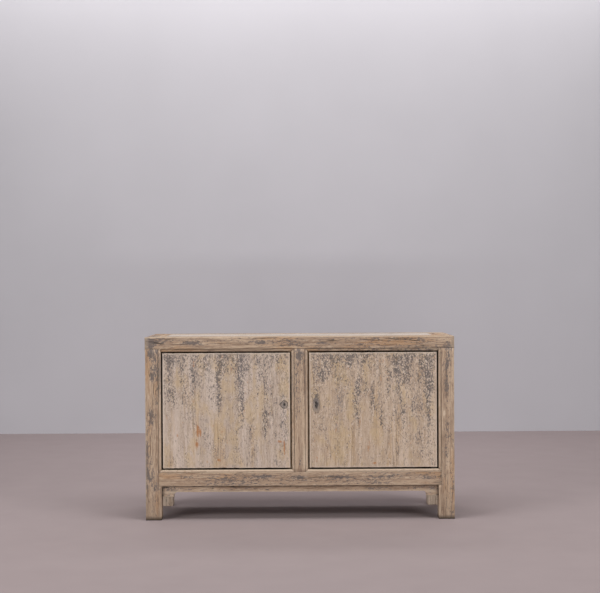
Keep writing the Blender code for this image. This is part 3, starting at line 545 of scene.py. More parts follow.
def growth_rings(recipe, fibres, swirl):
    """Contour lines of a slow noise, bent round a knot where a swirl's middle and size are given."""
    slow = recipe.noise(fibres, *NOISES["rings"])
    if swirl:
        bulge = recipe.soft_step(recipe.away_from(*swirl), 1.0, 0.0, 0.0, SWIRL_RINGS)
        slow = recipe.math("ADD", slow, bulge)
    return recipe.math("SINE", recipe.math("MULTIPLY", slow, RING_COUNT))


def stained(recipe, palette, colour, patches, grit):
    """Grey specks: thick where a slow noise or the stored soot is high, with edges broken by the grit."""
    patch = recipe.noise(patches, *NOISES["patches"])
    patch = recipe.plus(patch, recipe.math("SUBTRACT", grit, NOISE_MIDDLE), GRIT_IN_STAIN)
    patch = recipe.plus(patch, recipe.painted("soot"), SOOT_IN_STAIN)
    limits = [palette["stain_from"] + reach for reach in LIMITS["stain"]]
    return recipe.tinted(colour, palette["stain"], patch, limits, STRENGTHS["stain"])


def drying_checks(recipe, fibres, warmth):
    """Thin lines where a noise crosses its middle, kept to the warm patches."""
    split = recipe.math("SUBTRACT", recipe.noise(fibres, *NOISES["splits"]), NOISE_MIDDLE)
    lines = recipe.soft_step(recipe.math("ABSOLUTE", split), *LIMITS["splits"])
    return recipe.math("MULTIPLY", lines, recipe.soft_step(warmth, *LIMITS["split places"]))


def bare_wood(recipe, palette, grain, seed, swirl=None):
    """Colour, height and grit of bare old wood whose fibres run along one axis."""
    shift = tuple(seed * step for step in SEED_STEPS)
    fibres = recipe.mapped(squeezed(grain, FIBRE_SQUEEZE), shift)
    patches = recipe.mapped(squeezed(grain, PATCH_SQUEEZE), shift)
    grit = recipe.noise(recipe.mapped(squeezed(grain, GRIT_SQUEEZE), shift), *NOISES["grit"])
    dashes = recipe.noise(recipe.mapped(squeezed(grain, DASH_SQUEEZE), shift), *NOISES["dashes"])
    tone = recipe.noise(fibres, *NOISES["tone"])
    warmth = recipe.noise(patches, *NOISES["warmth"])
    threads = recipe.noise(fibres, *NOISES["threads"])
    rings = growth_rings(recipe, fibres, swirl)
    colour = recipe.blend(recipe.soft_step(tone, *LIMITS["tone"]), palette["pale"], palette["clean"])
    ring_strength = palette["grain"] * STRENGTHS["rings"]
    colour = recipe.tinted(colour, palette["ring"], rings, LIMITS["rings"], ring_strength)
    colour = recipe.tinted(colour, palette["warm"], warmth, LIMITS["warmth"], STRENGTHS["warmth"])
    colour = recipe.tinted(colour, palette["ring"], dashes, LIMITS["dark dashes"], palette["grain"])
    colour = recipe.tinted(colour, palette["worn"], dashes, LIMITS["pale dashes"], STRENGTHS["pale dashes"])
    colour = stained(recipe, palette, colour, patches, grit)
    pits = recipe.soft_step(grit, *LIMITS["pits"], 0.0, STRENGTHS["pits"])
    colour = recipe.blend(pits, colour, palette["stain"])
    for kind, tint in (("dark threads", "ring"), ("pale threads", "worn")):
        colour = recipe.tinted(colour, palette[tint], threads, LIMITS[kind], STRENGTHS[kind])
    checks = drying_checks(recipe, fibres, warmth)
    colour = recipe.blend(recipe.math("MULTIPLY", checks, palette["checks"]), colour, GRIME_AND_SHADE)
    layers = {"dashes": dashes, "rings": rings, "threads": threads, "pits": pits, "checks": checks}
    height = 0.0
    for name, share in RELIEF.items():
        height = recipe.plus(height, layers[name], share)
    return colour, height, grit


def wear_dirt_and_painted_light(recipe, palette, colour, grit, least, most):
    """Paler worn arrises and a painted highlight, dirt and painted shade; the mesh says how much of each.
    """
    rub = recipe.soft_step(grit, *LIMITS["rubbed"], least, most)
    colour = recipe.blend(recipe.math("MULTIPLY", recipe.painted("arris"), rub), colour, palette["worn"])
    dirt_and_shade = recipe.math("MULTIPLY", recipe.painted("grime_and_shade"), STRENGTHS["grime_and_shade"])
    return recipe.blend(dirt_and_shade, colour, GRIME_AND_SHADE)


def timber_finish(node, grain, seed):
    palette = PALETTES[slot_of[node]]
    # The back posts take paler tones as painted light for the shade under the cabinet.
    if node.startswith("post_back"):
        palette = {**palette, **BACK_POST_PAINTED_LIGHT}
    recipe = WoodRecipe(node + "_finish")
    colour, height, grit = bare_wood(recipe, palette, grain, seed, SWIRLS.get(node))
    colour = wear_dirt_and_painted_light(recipe, palette, colour, grit, *TIMBER_RUB)
    return recipe.finish(colour, recipe.soft_step(grit, *TIMBER_ROUGHNESS), height, TIMBER_BUMP)


print("timber finish ready")

# %% [markdown]
# ## The door finish
#
# The doors were once painted dark grey. Weather took most of it, so it stays as fine speckle that hangs
# in vertical streaks, thick below the top edge and nearly gone at the foot. The mesh stores a slow paint
# amount, and fine noise breaks it into flakes with pale flecks between them. Tan blooms lie under the
# paint. Orange scars are stored as the paint is, and a little rust is scattered by noise.

# %% List the layers of the doors
PAINT = srgb(80, 76, 79)
SCAR = srgb(171, 118, 77)
TAN = srgb(188, 162, 125)
# Each noise has a squeeze along the boards, a shift, and then its scale, detail and roughness.
DOOR_NOISES = {
    "bloom": (0.45, (5.0, 1.0, 8.0), (17.0, 3.0, 0.6)),
    "flakes": (0.6, (0.0, 0.0, 0.0), (180.0, 5.0, 0.82)),
    "clusters": (0.25, (0.0, 0.0, 0.0), (42.0, 3.0, 0.6)),
    "flecks": (0.6, (7.0, 3.0, 5.0), (190.0, 2.0, 0.6)),
    "rust": (0.35, (2.0, 9.0, 4.0), (75.0, 3.0, 0.6)),
}
# Each layer has two limits and the strengths that it has there.
DOOR_LAYERS = {
    "bloom": (0.5, 0.66, 0.0, 0.5),
    "paint": (0.93, 1.07, 0.0, 0.82),
    "near paint": (0.86, 0.97, 0.15, 0.85),
    "flecks": (0.55, 0.64, 0.0, 1.0),
    "scar": (1.22, 1.58, 0.0, 0.85),
    "rust": (0.66, 0.74, 0.0, 0.6),
    "roughness": (0.0, 0.8, 0.9, 0.74),
}
FLAKES_IN_PAINT = 1.3
CLUSTERS_IN_PAINT = 0.45
STORED_IN_PAINT = 0.16
FLAKES_IN_SCAR = 1.8
PAINT_RELIEF = 0.3
DOOR_BUMP = 0.0011
DOOR_RUB = (0.45, 1.0)
print("door layers", len(DOOR_LAYERS))

# %% [markdown]
# The old pulls left a dark ring on one door and a long dark knot on the other. Those are too small for
# the mesh, so the shader draws them from the distance to their middle.

# %% Define the door finish
KNOT_DARK = srgb(54, 49, 50)
KNOT_GREY = srgb(118, 110, 106)
KNOT_RAGGED = 0.7
KNOT_WAVES = 7.5
KNOT_FIELD = (1.2, 0.6, 0.0, 0.7)
KNOT_LINES = (0.0, 0.8, 0.0, 0.85)
KNOT_RIM = (1.25, 1.0)
HEART_EDGE = 0.75
HEART_SHRINKS = 0.4
HEART_CORE = 0.3
HEART_STRENGTH = 0.8
KNOTS = {
    "left": {"middle": (-0.0676, 0.5035), "size": (0.0145, 0.0160), "rings": 1.0},
    "right": {"middle": (0.0728, 0.5010), "size": (0.0160, 0.0360), "rings": 0.45},
}


def knot(recipe, colour, grit, middle, size, rings):
    """A pull's stain: a grey field with dark rings round its middle, drawn out along the grain."""
    away = recipe.plus(recipe.away_from(middle, size), grit, KNOT_RAGGED)
    ragged = recipe.math("SUBTRACT", away, KNOT_RAGGED * NOISE_MIDDLE)
    colour = recipe.blend(recipe.soft_step(ragged, *KNOT_FIELD), colour, KNOT_GREY)
    wave = recipe.math("SINE", recipe.math("MULTIPLY", ragged, KNOT_WAVES))
    inside = recipe.soft_step(ragged, *KNOT_RIM, 0.0, rings)
    lines = recipe.math("MULTIPLY", recipe.soft_step(wave, *KNOT_LINES), inside)
    colour = recipe.blend(lines, colour, KNOT_DARK)
    heart_edge = HEART_EDGE - rings * HEART_SHRINKS
    heart = recipe.soft_step(ragged, heart_edge, HEART_CORE, 0.0, HEART_STRENGTH)
    return recipe.blend(heart, colour, KNOT_DARK)


def door_noise(recipe, name):
    squeeze, shift, settings = DOOR_NOISES[name]
    return recipe.noise(recipe.mapped((1, 1, squeeze), shift), *settings)


def old_paint(recipe, palette, colour, flakes):
    """The colour with the remains of paint and pale flecks, and how much paint there is."""
    amount = recipe.math("MULTIPLY", flakes, FLAKES_IN_PAINT)
    amount = recipe.plus(amount, door_noise(recipe, "clusters"), CLUSTERS_IN_PAINT)
    amount = recipe.plus(amount, recipe.painted("paint"), STORED_IN_PAINT)
    paint = recipe.soft_step(amount, *DOOR_LAYERS["paint"])
    colour = recipe.blend(paint, colour, PAINT)
    near_paint = recipe.soft_step(amount, *DOOR_LAYERS["near paint"])
    flecks = recipe.soft_step(door_noise(recipe, "flecks"), *DOOR_LAYERS["flecks"])
    return recipe.blend(recipe.math("MULTIPLY", flecks, near_paint), colour, palette["worn"]), paint


def door_finish(node, label, seed):
    palette = {**PALETTES["door_wood"], **DOOR_TINTS[label]}
    recipe = WoodRecipe(node + "_finish")
    colour, height, grit = bare_wood(recipe, palette, Z, seed, SWIRLS.get(node))
    bloom = recipe.soft_step(door_noise(recipe, "bloom"), *DOOR_LAYERS["bloom"])
    colour = recipe.blend(bloom, colour, TAN)
    flakes = door_noise(recipe, "flakes")
    colour, paint = old_paint(recipe, palette, colour, flakes)
    rough_scar = recipe.plus(recipe.painted("scar"), flakes, FLAKES_IN_SCAR)
    colour = recipe.blend(recipe.soft_step(rough_scar, *DOOR_LAYERS["scar"]), colour, SCAR)
    rust = recipe.soft_step(door_noise(recipe, "rust"), *DOOR_LAYERS["rust"])
    colour = recipe.blend(rust, colour, SCAR)
    if node.endswith("meeting_board"):
        colour = knot(recipe, colour, grit, **KNOTS[label])
    colour = wear_dirt_and_painted_light(recipe, palette, colour, grit, *DOOR_RUB)
    height = recipe.plus(height, paint, PAINT_RELIEF)
    roughness = recipe.soft_step(paint, *DOOR_LAYERS["roughness"])
    return recipe.finish(colour, roughness, height, DOOR_BUMP)


print("door finish ready")

# %% [markdown]
# ## Ageing a timber
#
# A hand-planed board that stood outdoors isn't flat: it has slow hollows, raised fibres and nibbled
# arrises. A bump map can't change an outline, so the vertices themselves move. Each one goes inwards
# along its normal, never outwards, so that a timber never grows into its neighbour. Faces that lie
# against a neighbour are held, or light would show through the seams.

# %% Define the ageing of a mesh
HOLLOW_DEPTH = 0.0009
FIBRE_DEPTH = 0.0003
NIBBLE_DEPTH = 0.0022
HOLLOW_SCALE = 11
FIBRE_SCALE = 230
NIBBLE_SCALE = 75
NIBBLE_BIAS = 0.1
ARRIS_REACH = 0.0032
AGE_STEPS = (3.1, 1.7, 2.3)


def arris_closeness(point, edges, reach):
    """1 on an edge of the box with these ranges, fading to 0 within a few millimetres."""
    to_faces = sorted(min(abs(point[axis] - end) for end in edges[axis]) for axis in range(3))
    return math.exp(-((to_faces[1] / reach) ** 2))


def age(bm, edges, grain, seed, held=(), reach=ARRIS_REACH):
    """Hollows, raised fibres and nibbled arrises, and the arris amount for the finish.

    The edges are the ranges of the box whose edges are worn, and held names the axes that stay put."""
    arris = bm.verts.layers.float.get("arris") or bm.verts.layers.float.new("arris")
    offset = Vector([seed * step for step in AGE_STEPS])
    bm.normal_update()
    moves = []
    for vert in bm.verts:
        place = vert.co + offset
        along = place.copy()
        along[grain] *= FIBRE_SQUEEZE
        closeness = arris_closeness(vert.co, edges, reach)
        # The noise lies between -1 and 1; a half of it and a half more lies between 0 and 1.
        hollow = 0.5 + 0.5 * noise.noise(place * HOLLOW_SCALE)
        fibre = 0.5 + 0.5 * noise.noise(along * FIBRE_SCALE)
        nibble = max(0.0, noise.noise(place * NIBBLE_SCALE) + NIBBLE_BIAS)
        vert[arris] = max(vert[arris], closeness)
        depth = HOLLOW_DEPTH * hollow + FIBRE_DEPTH * fibre + NIBBLE_DEPTH * nibble * closeness
        move = vert.normal * -depth
        for axis in held:
            move[axis] = 0
        moves.append(move)
    for vert, move in zip(bm.verts, moves):
        vert.co += move


def finished(node, bm, material):
    """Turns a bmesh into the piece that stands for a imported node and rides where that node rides."""
    mesh = bpy.data.meshes.new("aged_" + node)
    bm.to_mesh(mesh)
    bm.free()
    mesh.shade_smooth()
    mesh.materials.append(material)
    piece = bpy.data.objects.new("aged_" + node, mesh)
    bpy.context.scene.collection.objects.link(piece)
    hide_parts(node)
    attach(piece, body_of[node])


print("ageing ready")

# %% [markdown]
# ## Square timbers and boards
#
# Boards, bearers, side rails and back posts are all sawn to a rectangle. A cube is scaled to the
# timber's visible length, its twelve edges get a bevel, and its long runs are cut into a fine grid,
# because the ageing can only move points that exist. The grid is finer across the grain than along it,
# as the pattern of the fibres is.

# %% Define the plank
FINE = (0.003, 0.012)
COARSE = (0.006, 0.024)
PARALLEL = 0.999
NEARLY_WHOLE = 0.9


def visible(node, x=None, y=None, z=None):
    """The ranges of a node that show: its box, or narrower where its ends hide in a joint."""
    low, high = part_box(node)
    return [given or (low[axis], high[axis]) for axis, given in enumerate((x, y, z))]


def runs_along(bm, axis):
    found = []
    for edge in bm.edges:
        span = edge.verts[1].co - edge.verts[0].co
        if abs(span[axis]) > PARALLEL * span.length and span.length > 0:
            found.append(edge)
    return found


def ease_edges(bm, edges, offset, segments):
    """A bevel with a round profile."""
    bmesh.ops.bevel(
        bm, geom=edges, offset=offset, segments=segments, profile=0.5, affect="EDGES", material=-1
    )


def plank(ranges, grain, arris, grid):
    across, along = grid
    bm = bmesh.new()
    bmesh.ops.create_cube(bm, size=1)
    bmesh.ops.scale(bm, vec=[high - low for low, high in ranges], verts=bm.verts)
    bmesh.ops.translate(bm, vec=[(low + high) / 2 for low, high in ranges], verts=bm.verts)
    ease_edges(bm, bm.edges[:], arris, segments=3)
    for axis in range(3):
        spacing = along if axis == grain else across
        runs = runs_along(bm, axis)
        longest = max(edge.calc_length() for edge in runs)
        cuts = round(longest / spacing) - 1
        if cuts > 0:
            whole = [edge for edge in runs if edge.calc_length() > longest * NEARLY_WHOLE]
            bmesh.ops.subdivide_edges(bm, edges=whole, cuts=cuts, use_grid_fill=True)
    return bm


print("plank ready")

# %% [markdown]
# A square timber is a plank that is aged and finished. Its ends lie in joints, so they are held and their
# edges stay fresh. Where a board meets the next board, the faces of the seam are held too. Every timber
# takes the next seed, so no two show the same grain.

# %% Define the square timber
POST_ARRIS = 0.003
RAIL_ARRIS = 0.0025
BEARER_ARRIS = 0.002
STRIP_ARRIS = 0.0015
BOARD_ARRIS = 0.0012
# A range that reaches far past the cabinet, so that no worn edge comes to lie on the timber.
BURIED = (-9.0, 9.0)
SIDES = {"left": -1, "right": 1}
between_posts = (FRONT_POST_BACK, BACK_POST_FRONT)
seeds = itertools.count(1)


def square_timber(node, grain, arris=BEARER_ARRIS, grid=COARSE, seam=None, **ends):
    """A timber with square ends; a seam axis is one along which another board follows."""
    seed = next(seeds)
    ranges = visible(node, **ends)
    bm = plank(ranges, grain, arris, grid)
    worn = list(ranges)
    worn[grain] = BURIED
    held = [grain]
    if seam is not None:
        worn[seam] = BURIED
        held.append(seam)
    age(bm, worn, grain, seed, held)
    finished(node, bm, timber_finish(node, grain, seed))


print("square timber ready")

# %% [markdown]
# ## Carcase timbers behind the front frame
#
# The back posts, the side rails and boards and the whole back are plain square work. Their ends hide
# in mortises and grooves, so each one is drawn only between the shoulders that show.

# %% Make the back posts, sides and back
above_rail = (RAIL_TOP, TOP_UNDER)
for label in SIDES:
    square_timber(f"post_back_{label}", Z, POST_ARRIS, FINE, z=(0, TOP_UNDER))
    square_timber(f"side_rail_{label}", Y, RAIL_ARRIS, FINE, y=between_posts)
    for place in ("front", "back"):
        square_timber(f"side_board_{place}_{label}", Z, BOARD_ARRIS, FINE, Y, z=above_rail)
    for index in (1, 2):
        square_timber(f"back_board_{label}_{index}", Z, BOARD_ARRIS, COARSE, X, z=above_rail)
square_timber("back_bottom_rail", X, RAIL_ARRIS, FINE, x=(-BACK_HALF, BACK_HALF))
square_timber("back_stile", Z, RAIL_ARRIS, FINE, z=above_rail)
print("back and sides done")

# %% [markdown]
# ## Inside: floor, shelf and stop
#
# The floor lies in grooves on two bearers, the shelf lies loose on three, and a strip behind the centre
# stile stops both doors. They were never painted, so they keep a browner, plainer wood.

# %% Make the floor, shelf and stop strip
for index in (1, 2, 3):
    square_timber(f"floor_board_{index}", X, BOARD_ARRIS, seam=Y)
for label in SIDES:
    square_timber(f"floor_bearer_{label}", Y, y=(FRAME_BACK, BACK_FRAME_FRONT))
    square_timber(f"shelf_bearer_{label}", Y, y=between_posts)
square_timber("shelf_bearer_middle", Y, y=(STOP_BACK, BACK_FRAME_FRONT))
for index in (1, 2):
    square_timber(f"shelf_board_{index}", X, STRIP_ARRIS, seam=Y)
square_timber("door_stop_strip", Z, STRIP_ARRIS)
print("inside done")

# %% [markdown]
# ## The top
#
# Three boards float inside a mitred frame, with two battens below them. The frame's ends and back are
# planks whose ends are drawn in along a 45 degree line, which a simple scaling of each point does.

# %% Make the top boards, battens and three sides of the frame
for index in (1, 2, 3):
    low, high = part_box(f"top_board_{index}")
    field = (max(low.y, -FIELD_Y), min(high.y, FIELD_Y))
    square_timber(f"top_board_{index}", X, BOARD_ARRIS, FINE, Y, x=(-FIELD_X, FIELD_X), y=field)
for label in SIDES:
    under = (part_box(f"top_batten_{label}")[0].z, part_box("top_board_1")[0].z)
    square_timber(f"top_batten_{label}", Y, y=(-FIELD_Y, FIELD_Y), z=under)


def mitred_timber(node, grain, depth_axis, outer):
    """A plank whose ends run back at 45 degrees from its outer face."""
    seed = next(seeds)
    ranges = visible(node)
    reach = max(abs(end) for end in ranges[grain])
    ranges[grain] = (-reach, reach)
    bm = plank(ranges, grain, POST_ARRIS, FINE)
    worn = list(ranges)
    worn[grain] = BURIED
    worn[depth_axis] = (outer, outer)
    age(bm, worn, grain, seed, [grain])
    for vert in bm.verts:
        inward = abs(outer - vert.co[depth_axis])
        vert.co[grain] *= (reach - inward) / reach
    finished(node, bm, timber_finish(node, grain, seed))


mitred_timber("top_back_rail", X, Y, BACK)
for label, side in SIDES.items():
    mitred_timber(f"top_{label}_rail", Y, X, side * HALF_WIDTH)
print("top done")

# %% [markdown]
# ## Beaded members of the front frame
#
# Posts, rail, stile and top all carry a bead along the opening. Each member has a section with the bead
# at its edge, drawn as pairs: the distance across the face from the opening, and the depth behind the
# face. The other corners are eased by a small arc.

# %% Define the sections
BEAD_CROWN = 0.003
BEAD_POINTS = 9
FACE_STEP = 0.003
DEPTH_STEP = 0.008
MEMBER_ARRIS = 0.003
EASE_STEPS = 4


def bead_section():
    """The bead from the opening edge to its quirk, as (across the face, depth)."""
    radius = (BEAD**2 / 4 + BEAD_CROWN**2) / (2 * BEAD_CROWN)
    points = []
    for step in range(BEAD_POINTS):
        across = BEAD * step / (BEAD_POINTS - 1)
        points.append((across, radius - math.sqrt(radius**2 - (across - BEAD / 2) ** 2)))
    return points


def run(start, stop, spacing):
    """Points from start towards stop at about the spacing, without the last one."""
    (u0, v0), (u1, v1) = start, stop
    count = max(1, round(math.dist(start, stop) / spacing))
    return [(u0 + (u1 - u0) * k / count, v0 + (v1 - v0) * k / count) for k in range(count)]


def eased(corner, before, after):
    """A corner of the section turned into a small arc, from the side of before to that of after."""
    point = Vector(corner)
    to_before = (Vector(before) - point).normalized() * MEMBER_ARRIS
    to_after = (Vector(after) - point).normalized() * MEMBER_ARRIS
    arc = []
    for step in range(EASE_STEPS + 1):
        turn = math.pi / 2 * step / EASE_STEPS
        arc.append(tuple(point + to_before * (1 - math.sin(turn)) + to_after * (1 - math.cos(turn))))
    return arc


def outline_between(corners):
    """Straight runs between eased corners, from the first corner to the last, which stay sharp."""
    points = [corners[0]]
    for before, corner, after in zip(corners, corners[1:], corners[2:]):
        arc = eased(corner, before, after)
        spacing = FACE_STEP if max(points[-1][1], corner[1]) < MEMBER_ARRIS * 2 else DEPTH_STEP
        points += run(points[-1], arc[0], spacing)[1:] + arc
    points += run(points[-1], corners[-1], DEPTH_STEP)[1:] + [corners[-1]]
    return points


def single_section(width, depth):
    bead = bead_section()
    return bead + outline_between([(BEAD, 0), (width, 0), (width, depth), (0, depth), bead[0]])[:-1]


def double_section(width, depth):
    bead = bead_section()
    far_bead = [(width - u, v) for u, v in reversed(bead)]
    face = run((BEAD, 0), (width - BEAD, 0), FACE_STEP) + [(width - BEAD, 0)]
    back = outline_between([far_bead[-1], (width, depth), (0, depth), bead[0]])[1:-1]
    return bead + face + far_bead + back


post_section = single_section(HALF_WIDTH - OPENING_HALF, FRONT_POST_BACK - FRONT)
rail_section = single_section(RAIL_TOP - LEG_HEIGHT, FRAME_BACK - FRONT)
stile_section = double_section(STILE_HALF * 2, STILE_BACK - FRONT)
print("section points", len(post_section), len(rail_section), len(stile_section))

# %% [markdown]
# One section is swept along the member by a spin with no angle and a step. The beads mitre where two
# members meet: where another member covers the bead, its points sink behind that member, and the end
# of the covered stretch slants at 45 degrees across the bead. That is how the real shoulder is cut, and
# the joint line shows in the same place.
#
# The stations are the places along the member where the section is repeated. They are evenly spaced,
# with a close pair at each end of a covered stretch, one on each side of the joint line.

# %% Define the sweep
STATION_STEP = 0.010
SINK = 0.007
HAIR = 0.0002
BEAD_WEAR = 0.4
WEAR_FADES = 0.6
FOOT_WEAR = 0.15
QUIRK_FROM = 0.99
QUIRK_GRIME = 0.5
# The faces that line a door gap are painted dark as the gap's shade: darkest at the mouth, lighter deeper
# in.
GAP_MOUTH_SHADE = 1.0
DEEP_GAP_SHADE = 0.45
GAP_SHADE_FADE = 0.008


def stations(start, stop, covers, end_lean):
    """(place, covered, slant) for each section; slant tells how the bead's points lean there."""
    count = round((stop - start) / STATION_STEP)
    places = [start + (stop - start) * k / count for k in range(count + 1)]
    listed = [(start, False, end_lean), (stop, False, -end_lean)]
    for low, high, low_slant, high_slant in covers:
        if low > start:
            listed += [(low - HAIR, False, -low_slant), (low + HAIR, True, -low_slant)]
        if high < stop:
            listed += [(high - HAIR, True, high_slant), (high + HAIR, False, high_slant)]
    fixed = [entry[0] for entry in listed]
    for place in places:
        if min(abs(place - other) for other in fixed) > BEAD + STATION_STEP / 2:
            listed.append((place, any(low < place < high for low, high, *_ in covers), 0))
    return sorted(listed)


def gap_shade(depth):
    """Painted shade on a face of a door gap: darkest at the gap's mouth, lighter deeper in."""
    return DEEP_GAP_SHADE + (GAP_MOUTH_SHADE - DEEP_GAP_SHADE) * math.exp(-depth / GAP_SHADE_FADE)


def spun(section, steps):
    """The section repeated along Z at whole numbers, each point marked with its place in the section."""
    bm = bmesh.new()
    number = bm.verts.layers.int.new("section_number")
    ring = [bm.verts.new((u, v, 0)) for u, v in section]
    for index, vert in enumerate(ring):
        vert[number] = index
    edges = [bm.edges.new((a, b)) for a, b in zip(ring, ring[1:] + ring[:1])]
    bmesh.ops.spin(
        bm, geom=ring + edges, cent=(0, 0, 0), axis=(0, 0, 1), dvec=(0, 0, 1), angle=0,
        steps=steps, use_duplicate=False,
    )
    return bm


def sweep(
    section, listed, to_frame, double=False, fresh=None, wear_and_highlight=BEAD_WEAR, dirt_and_shade=QUIRK_GRIME, shade=0.0
):
    """The spun section set out station by station.

    Beyond the fresh place the bead keeps its round, its wear and the dirt in its quirk; before it, at a
    foot, the bead is rubbed down. On the lower rail the wear includes a painted highlight, on the top's
    lip the quirk and the bead take painted shade, and faces along the opening take painted gap shade."""
    bm = spun(section, len(listed) - 1)
    number = bm.verts.layers.int["section_number"]
    arris = bm.verts.layers.float.new("arris")
    grime_and_shade = bm.verts.layers.float.new("grime_and_shade")
    width = max(u for u, v in section)
    for vert in bm.verts:
        place, covered, slant = listed[round(vert.co.z)]
        u, v = section[vert[number]]
        from_edge = min(u, width - u) if double else u
        if from_edge <= BEAD and v < FRAME_BACK - FRONT:
            place += slant * (BEAD - from_edge)
            is_fresh = fresh is None or place > fresh
            if v <= BEAD_CROWN:
                kept = 1.0 if is_fresh else FOOT_WEAR
                # The bead's wear; on the lower rail the value also holds a painted highlight.
                vert[arris] = kept * wear_and_highlight * (1 - from_edge / BEAD * WEAR_FADES)
                # The quirk holds dirt; on the top's lip the quirk and the whole bead take painted shade
                # instead.
                vert[grime_and_shade] = kept * (dirt_and_shade if from_edge > BEAD * QUIRK_FROM else shade)
                v *= kept
            # The face along the opening lines a door gap, so it gets the painted gap shade.
            elif from_edge < HAIR and is_fresh:
                vert[grime_and_shade] = gap_shade(v)
            if covered and vert[number] < BEAD_POINTS:
                v += SINK
        vert.co = to_frame(place, u, v)
    open_edges = [edge for edge in bm.edges if len(edge.link_faces) == 1]
    bmesh.ops.holes_fill(bm, edges=open_edges, sides=0)
    bmesh.ops.recalc_face_normals(bm, faces=bm.faces)
    return bm


print("sweep ready")

# %% [markdown]
# The front frame is greyer in some places than in others, and a few places are rubbed bare. Both are
# stored as listed soft spots, each with a middle on the front, a half width, a half height and a
# strength. A strength below zero keeps a place clean. The feet darken downwards, and their bottom
# faces carry a painted contact shadow.

# %% Define the beaded member
SOOT_DEPTH = 0.02
FOOT_CONTACT_SHADOW = 0.001
FOOT_DARKENING = 0.22
FOOT_DARKENING_REACH = 0.115
SOOT = (
    (-0.645, 0.632, 0.011, 0.035, 1.0),
    (-0.650, 0.461, 0.010, 0.045, 1.0),
    (-0.650, 0.765, 0.018, 0.024, 0.9),
    (-0.646, 0.190, 0.012, 0.020, 0.6),
    (0.648, 0.750, 0.018, 0.024, 0.8),
    (-0.648, 0.722, 0.018, 0.032, 0.8),
    (0.650, 0.705, 0.016, 0.040, 0.5),
    (0.644, 0.660, 0.011, 0.040, 0.8),
    (0.640, 0.290, 0.011, 0.060, 0.9),
    (0.632, 0.186, 0.014, 0.016, 0.8),
    (0.000, 0.715, 0.014, 0.030, 1.0),
    (-0.003, 0.490, 0.010, 0.060, 0.5),
    (0.003, 0.255, 0.008, 0.030, 0.9),
    (-0.471, 0.776, 0.040, 0.010, 1.0),
    (-0.174, 0.774, 0.026, 0.010, 1.0),
    (-0.030, 0.770, 0.050, 0.014, 0.8),
    (0.097, 0.771, 0.030, 0.011, 0.7),
    (0.270, 0.764, 0.055, 0.007, 0.6),
    (0.534, 0.776, 0.032, 0.012, 0.5),
    (-0.502, 0.187, 0.042, 0.007, 0.9),
    (-0.157, 0.190, 0.042, 0.007, 1.0),
    (-0.004, 0.184, 0.022, 0.009, 1.2),
    (0.160, 0.187, 0.060, 0.009, 1.0),
    (0.380, 0.184, 0.060, 0.007, 0.8),
    (0.552, 0.183, 0.042, 0.012, 1.0),
    (0.640, 0.060, 0.060, 0.070, -0.3),
    (-0.640, 0.060, 0.060, 0.070, -0.5),
    (0.641, 0.560, 0.010, 0.060, 0.7),
    (0.643, 0.400, 0.010, 0.050, 0.8),
)
RUBBED = (
    (0.023, 0.270, 0.008, 0.050, 1.7),
    (0.630, 0.461, 0.005, 0.016, 1.7),
    (-0.560, 0.212, 0.030, 0.010, 0.8),
)


def spots(marks, x, z):
    """How much of any soft spot lies at this place of the front: 0 for none, its strength at its middle."""
    total = 0.0
    for across, up, width, height, strength in marks:
        total += strength * math.exp(-(((x - across) / width) ** 2) - ((z - up) / height) ** 2)
    return total


def beaded_member(node, grain, ranges, bm):
    seed = next(seeds)
    soot = bm.verts.layers.float.new("soot")
    grime_and_shade, arris = (bm.verts.layers.float[name] for name in ("grime_and_shade", "arris"))
    for vert in bm.verts:
        if vert.co.y < FRONT + SOOT_DEPTH:
            vert[soot] = spots(SOOT, vert.co.x, vert.co.z)
            vert[arris] = max(vert[arris], spots(RUBBED, vert.co.x, vert.co.z))
        # The timber darkens towards the floor.
        vert[grime_and_shade] += FOOT_DARKENING * math.exp(-((vert.co.z / FOOT_DARKENING_REACH) ** 2))
        # The bottom face is painted dark as the contact shadow under the foot.
        if vert.co.z < FOOT_CONTACT_SHADOW:
            vert[grime_and_shade] = 1
    age(bm, ranges, grain, seed, [grain])
    finished(node, bm, timber_finish(node, grain, seed))


print("soot spots", len(SOOT), "rubbed spots", len(RUBBED))

# %% [markdown]
# ### Posts, rail and stile
#
# The posts run from the floor to the top, and the lower rail is housed in them. The rail reaches past
# the opening by the width of the bead. The stile stands between the rail's bead and the lip of the top.

# %% Make the front posts, lower rail and centre stile
# The lower rail's bead is made paler than its wear alone would be: a painted highlight where its round top
# faces the light from above.
RAIL_BEAD_WEAR_AND_HIGHLIGHT = 1.8
RAIL_QUIRK_GRIME = 0.15

rail_cover = (LEG_HEIGHT, RAIL_TOP - BEAD, 0, 1)
post_places = stations(0, TOP_UNDER + HAIR * 2, [rail_cover], 0)
for label, side in SIDES.items():
    ranges = visible(f"post_front_{label}", z=(0, BURIED[1]))
    ranges[X] = (side * HALF_WIDTH, side * HALF_WIDTH)
    post = sweep(
        post_section,
        post_places,
        lambda place, u, v: (side * (OPENING_HALF + u), FRONT + v, place),
        fresh=LEG_HEIGHT,
    )
    beaded_member(f"post_front_{label}", Z, ranges, post)

reach = OPENING_HALF + BEAD
stile_cover = (BEAD - STILE_HALF, STILE_HALF - BEAD, 1, 1)
rail = sweep(
    rail_section,
    stations(-reach, reach, [stile_cover], 1),
    lambda place, u, v: (place, FRONT + v, RAIL_TOP - u),
    wear_and_highlight=RAIL_BEAD_WEAR_AND_HIGHLIGHT,
    dirt_and_shade=RAIL_QUIRK_GRIME,
)
rail_ranges = visible("front_bottom_rail", x=BURIED, z=(LEG_HEIGHT, LEG_HEIGHT))
beaded_member("front_bottom_rail", X, rail_ranges, rail)

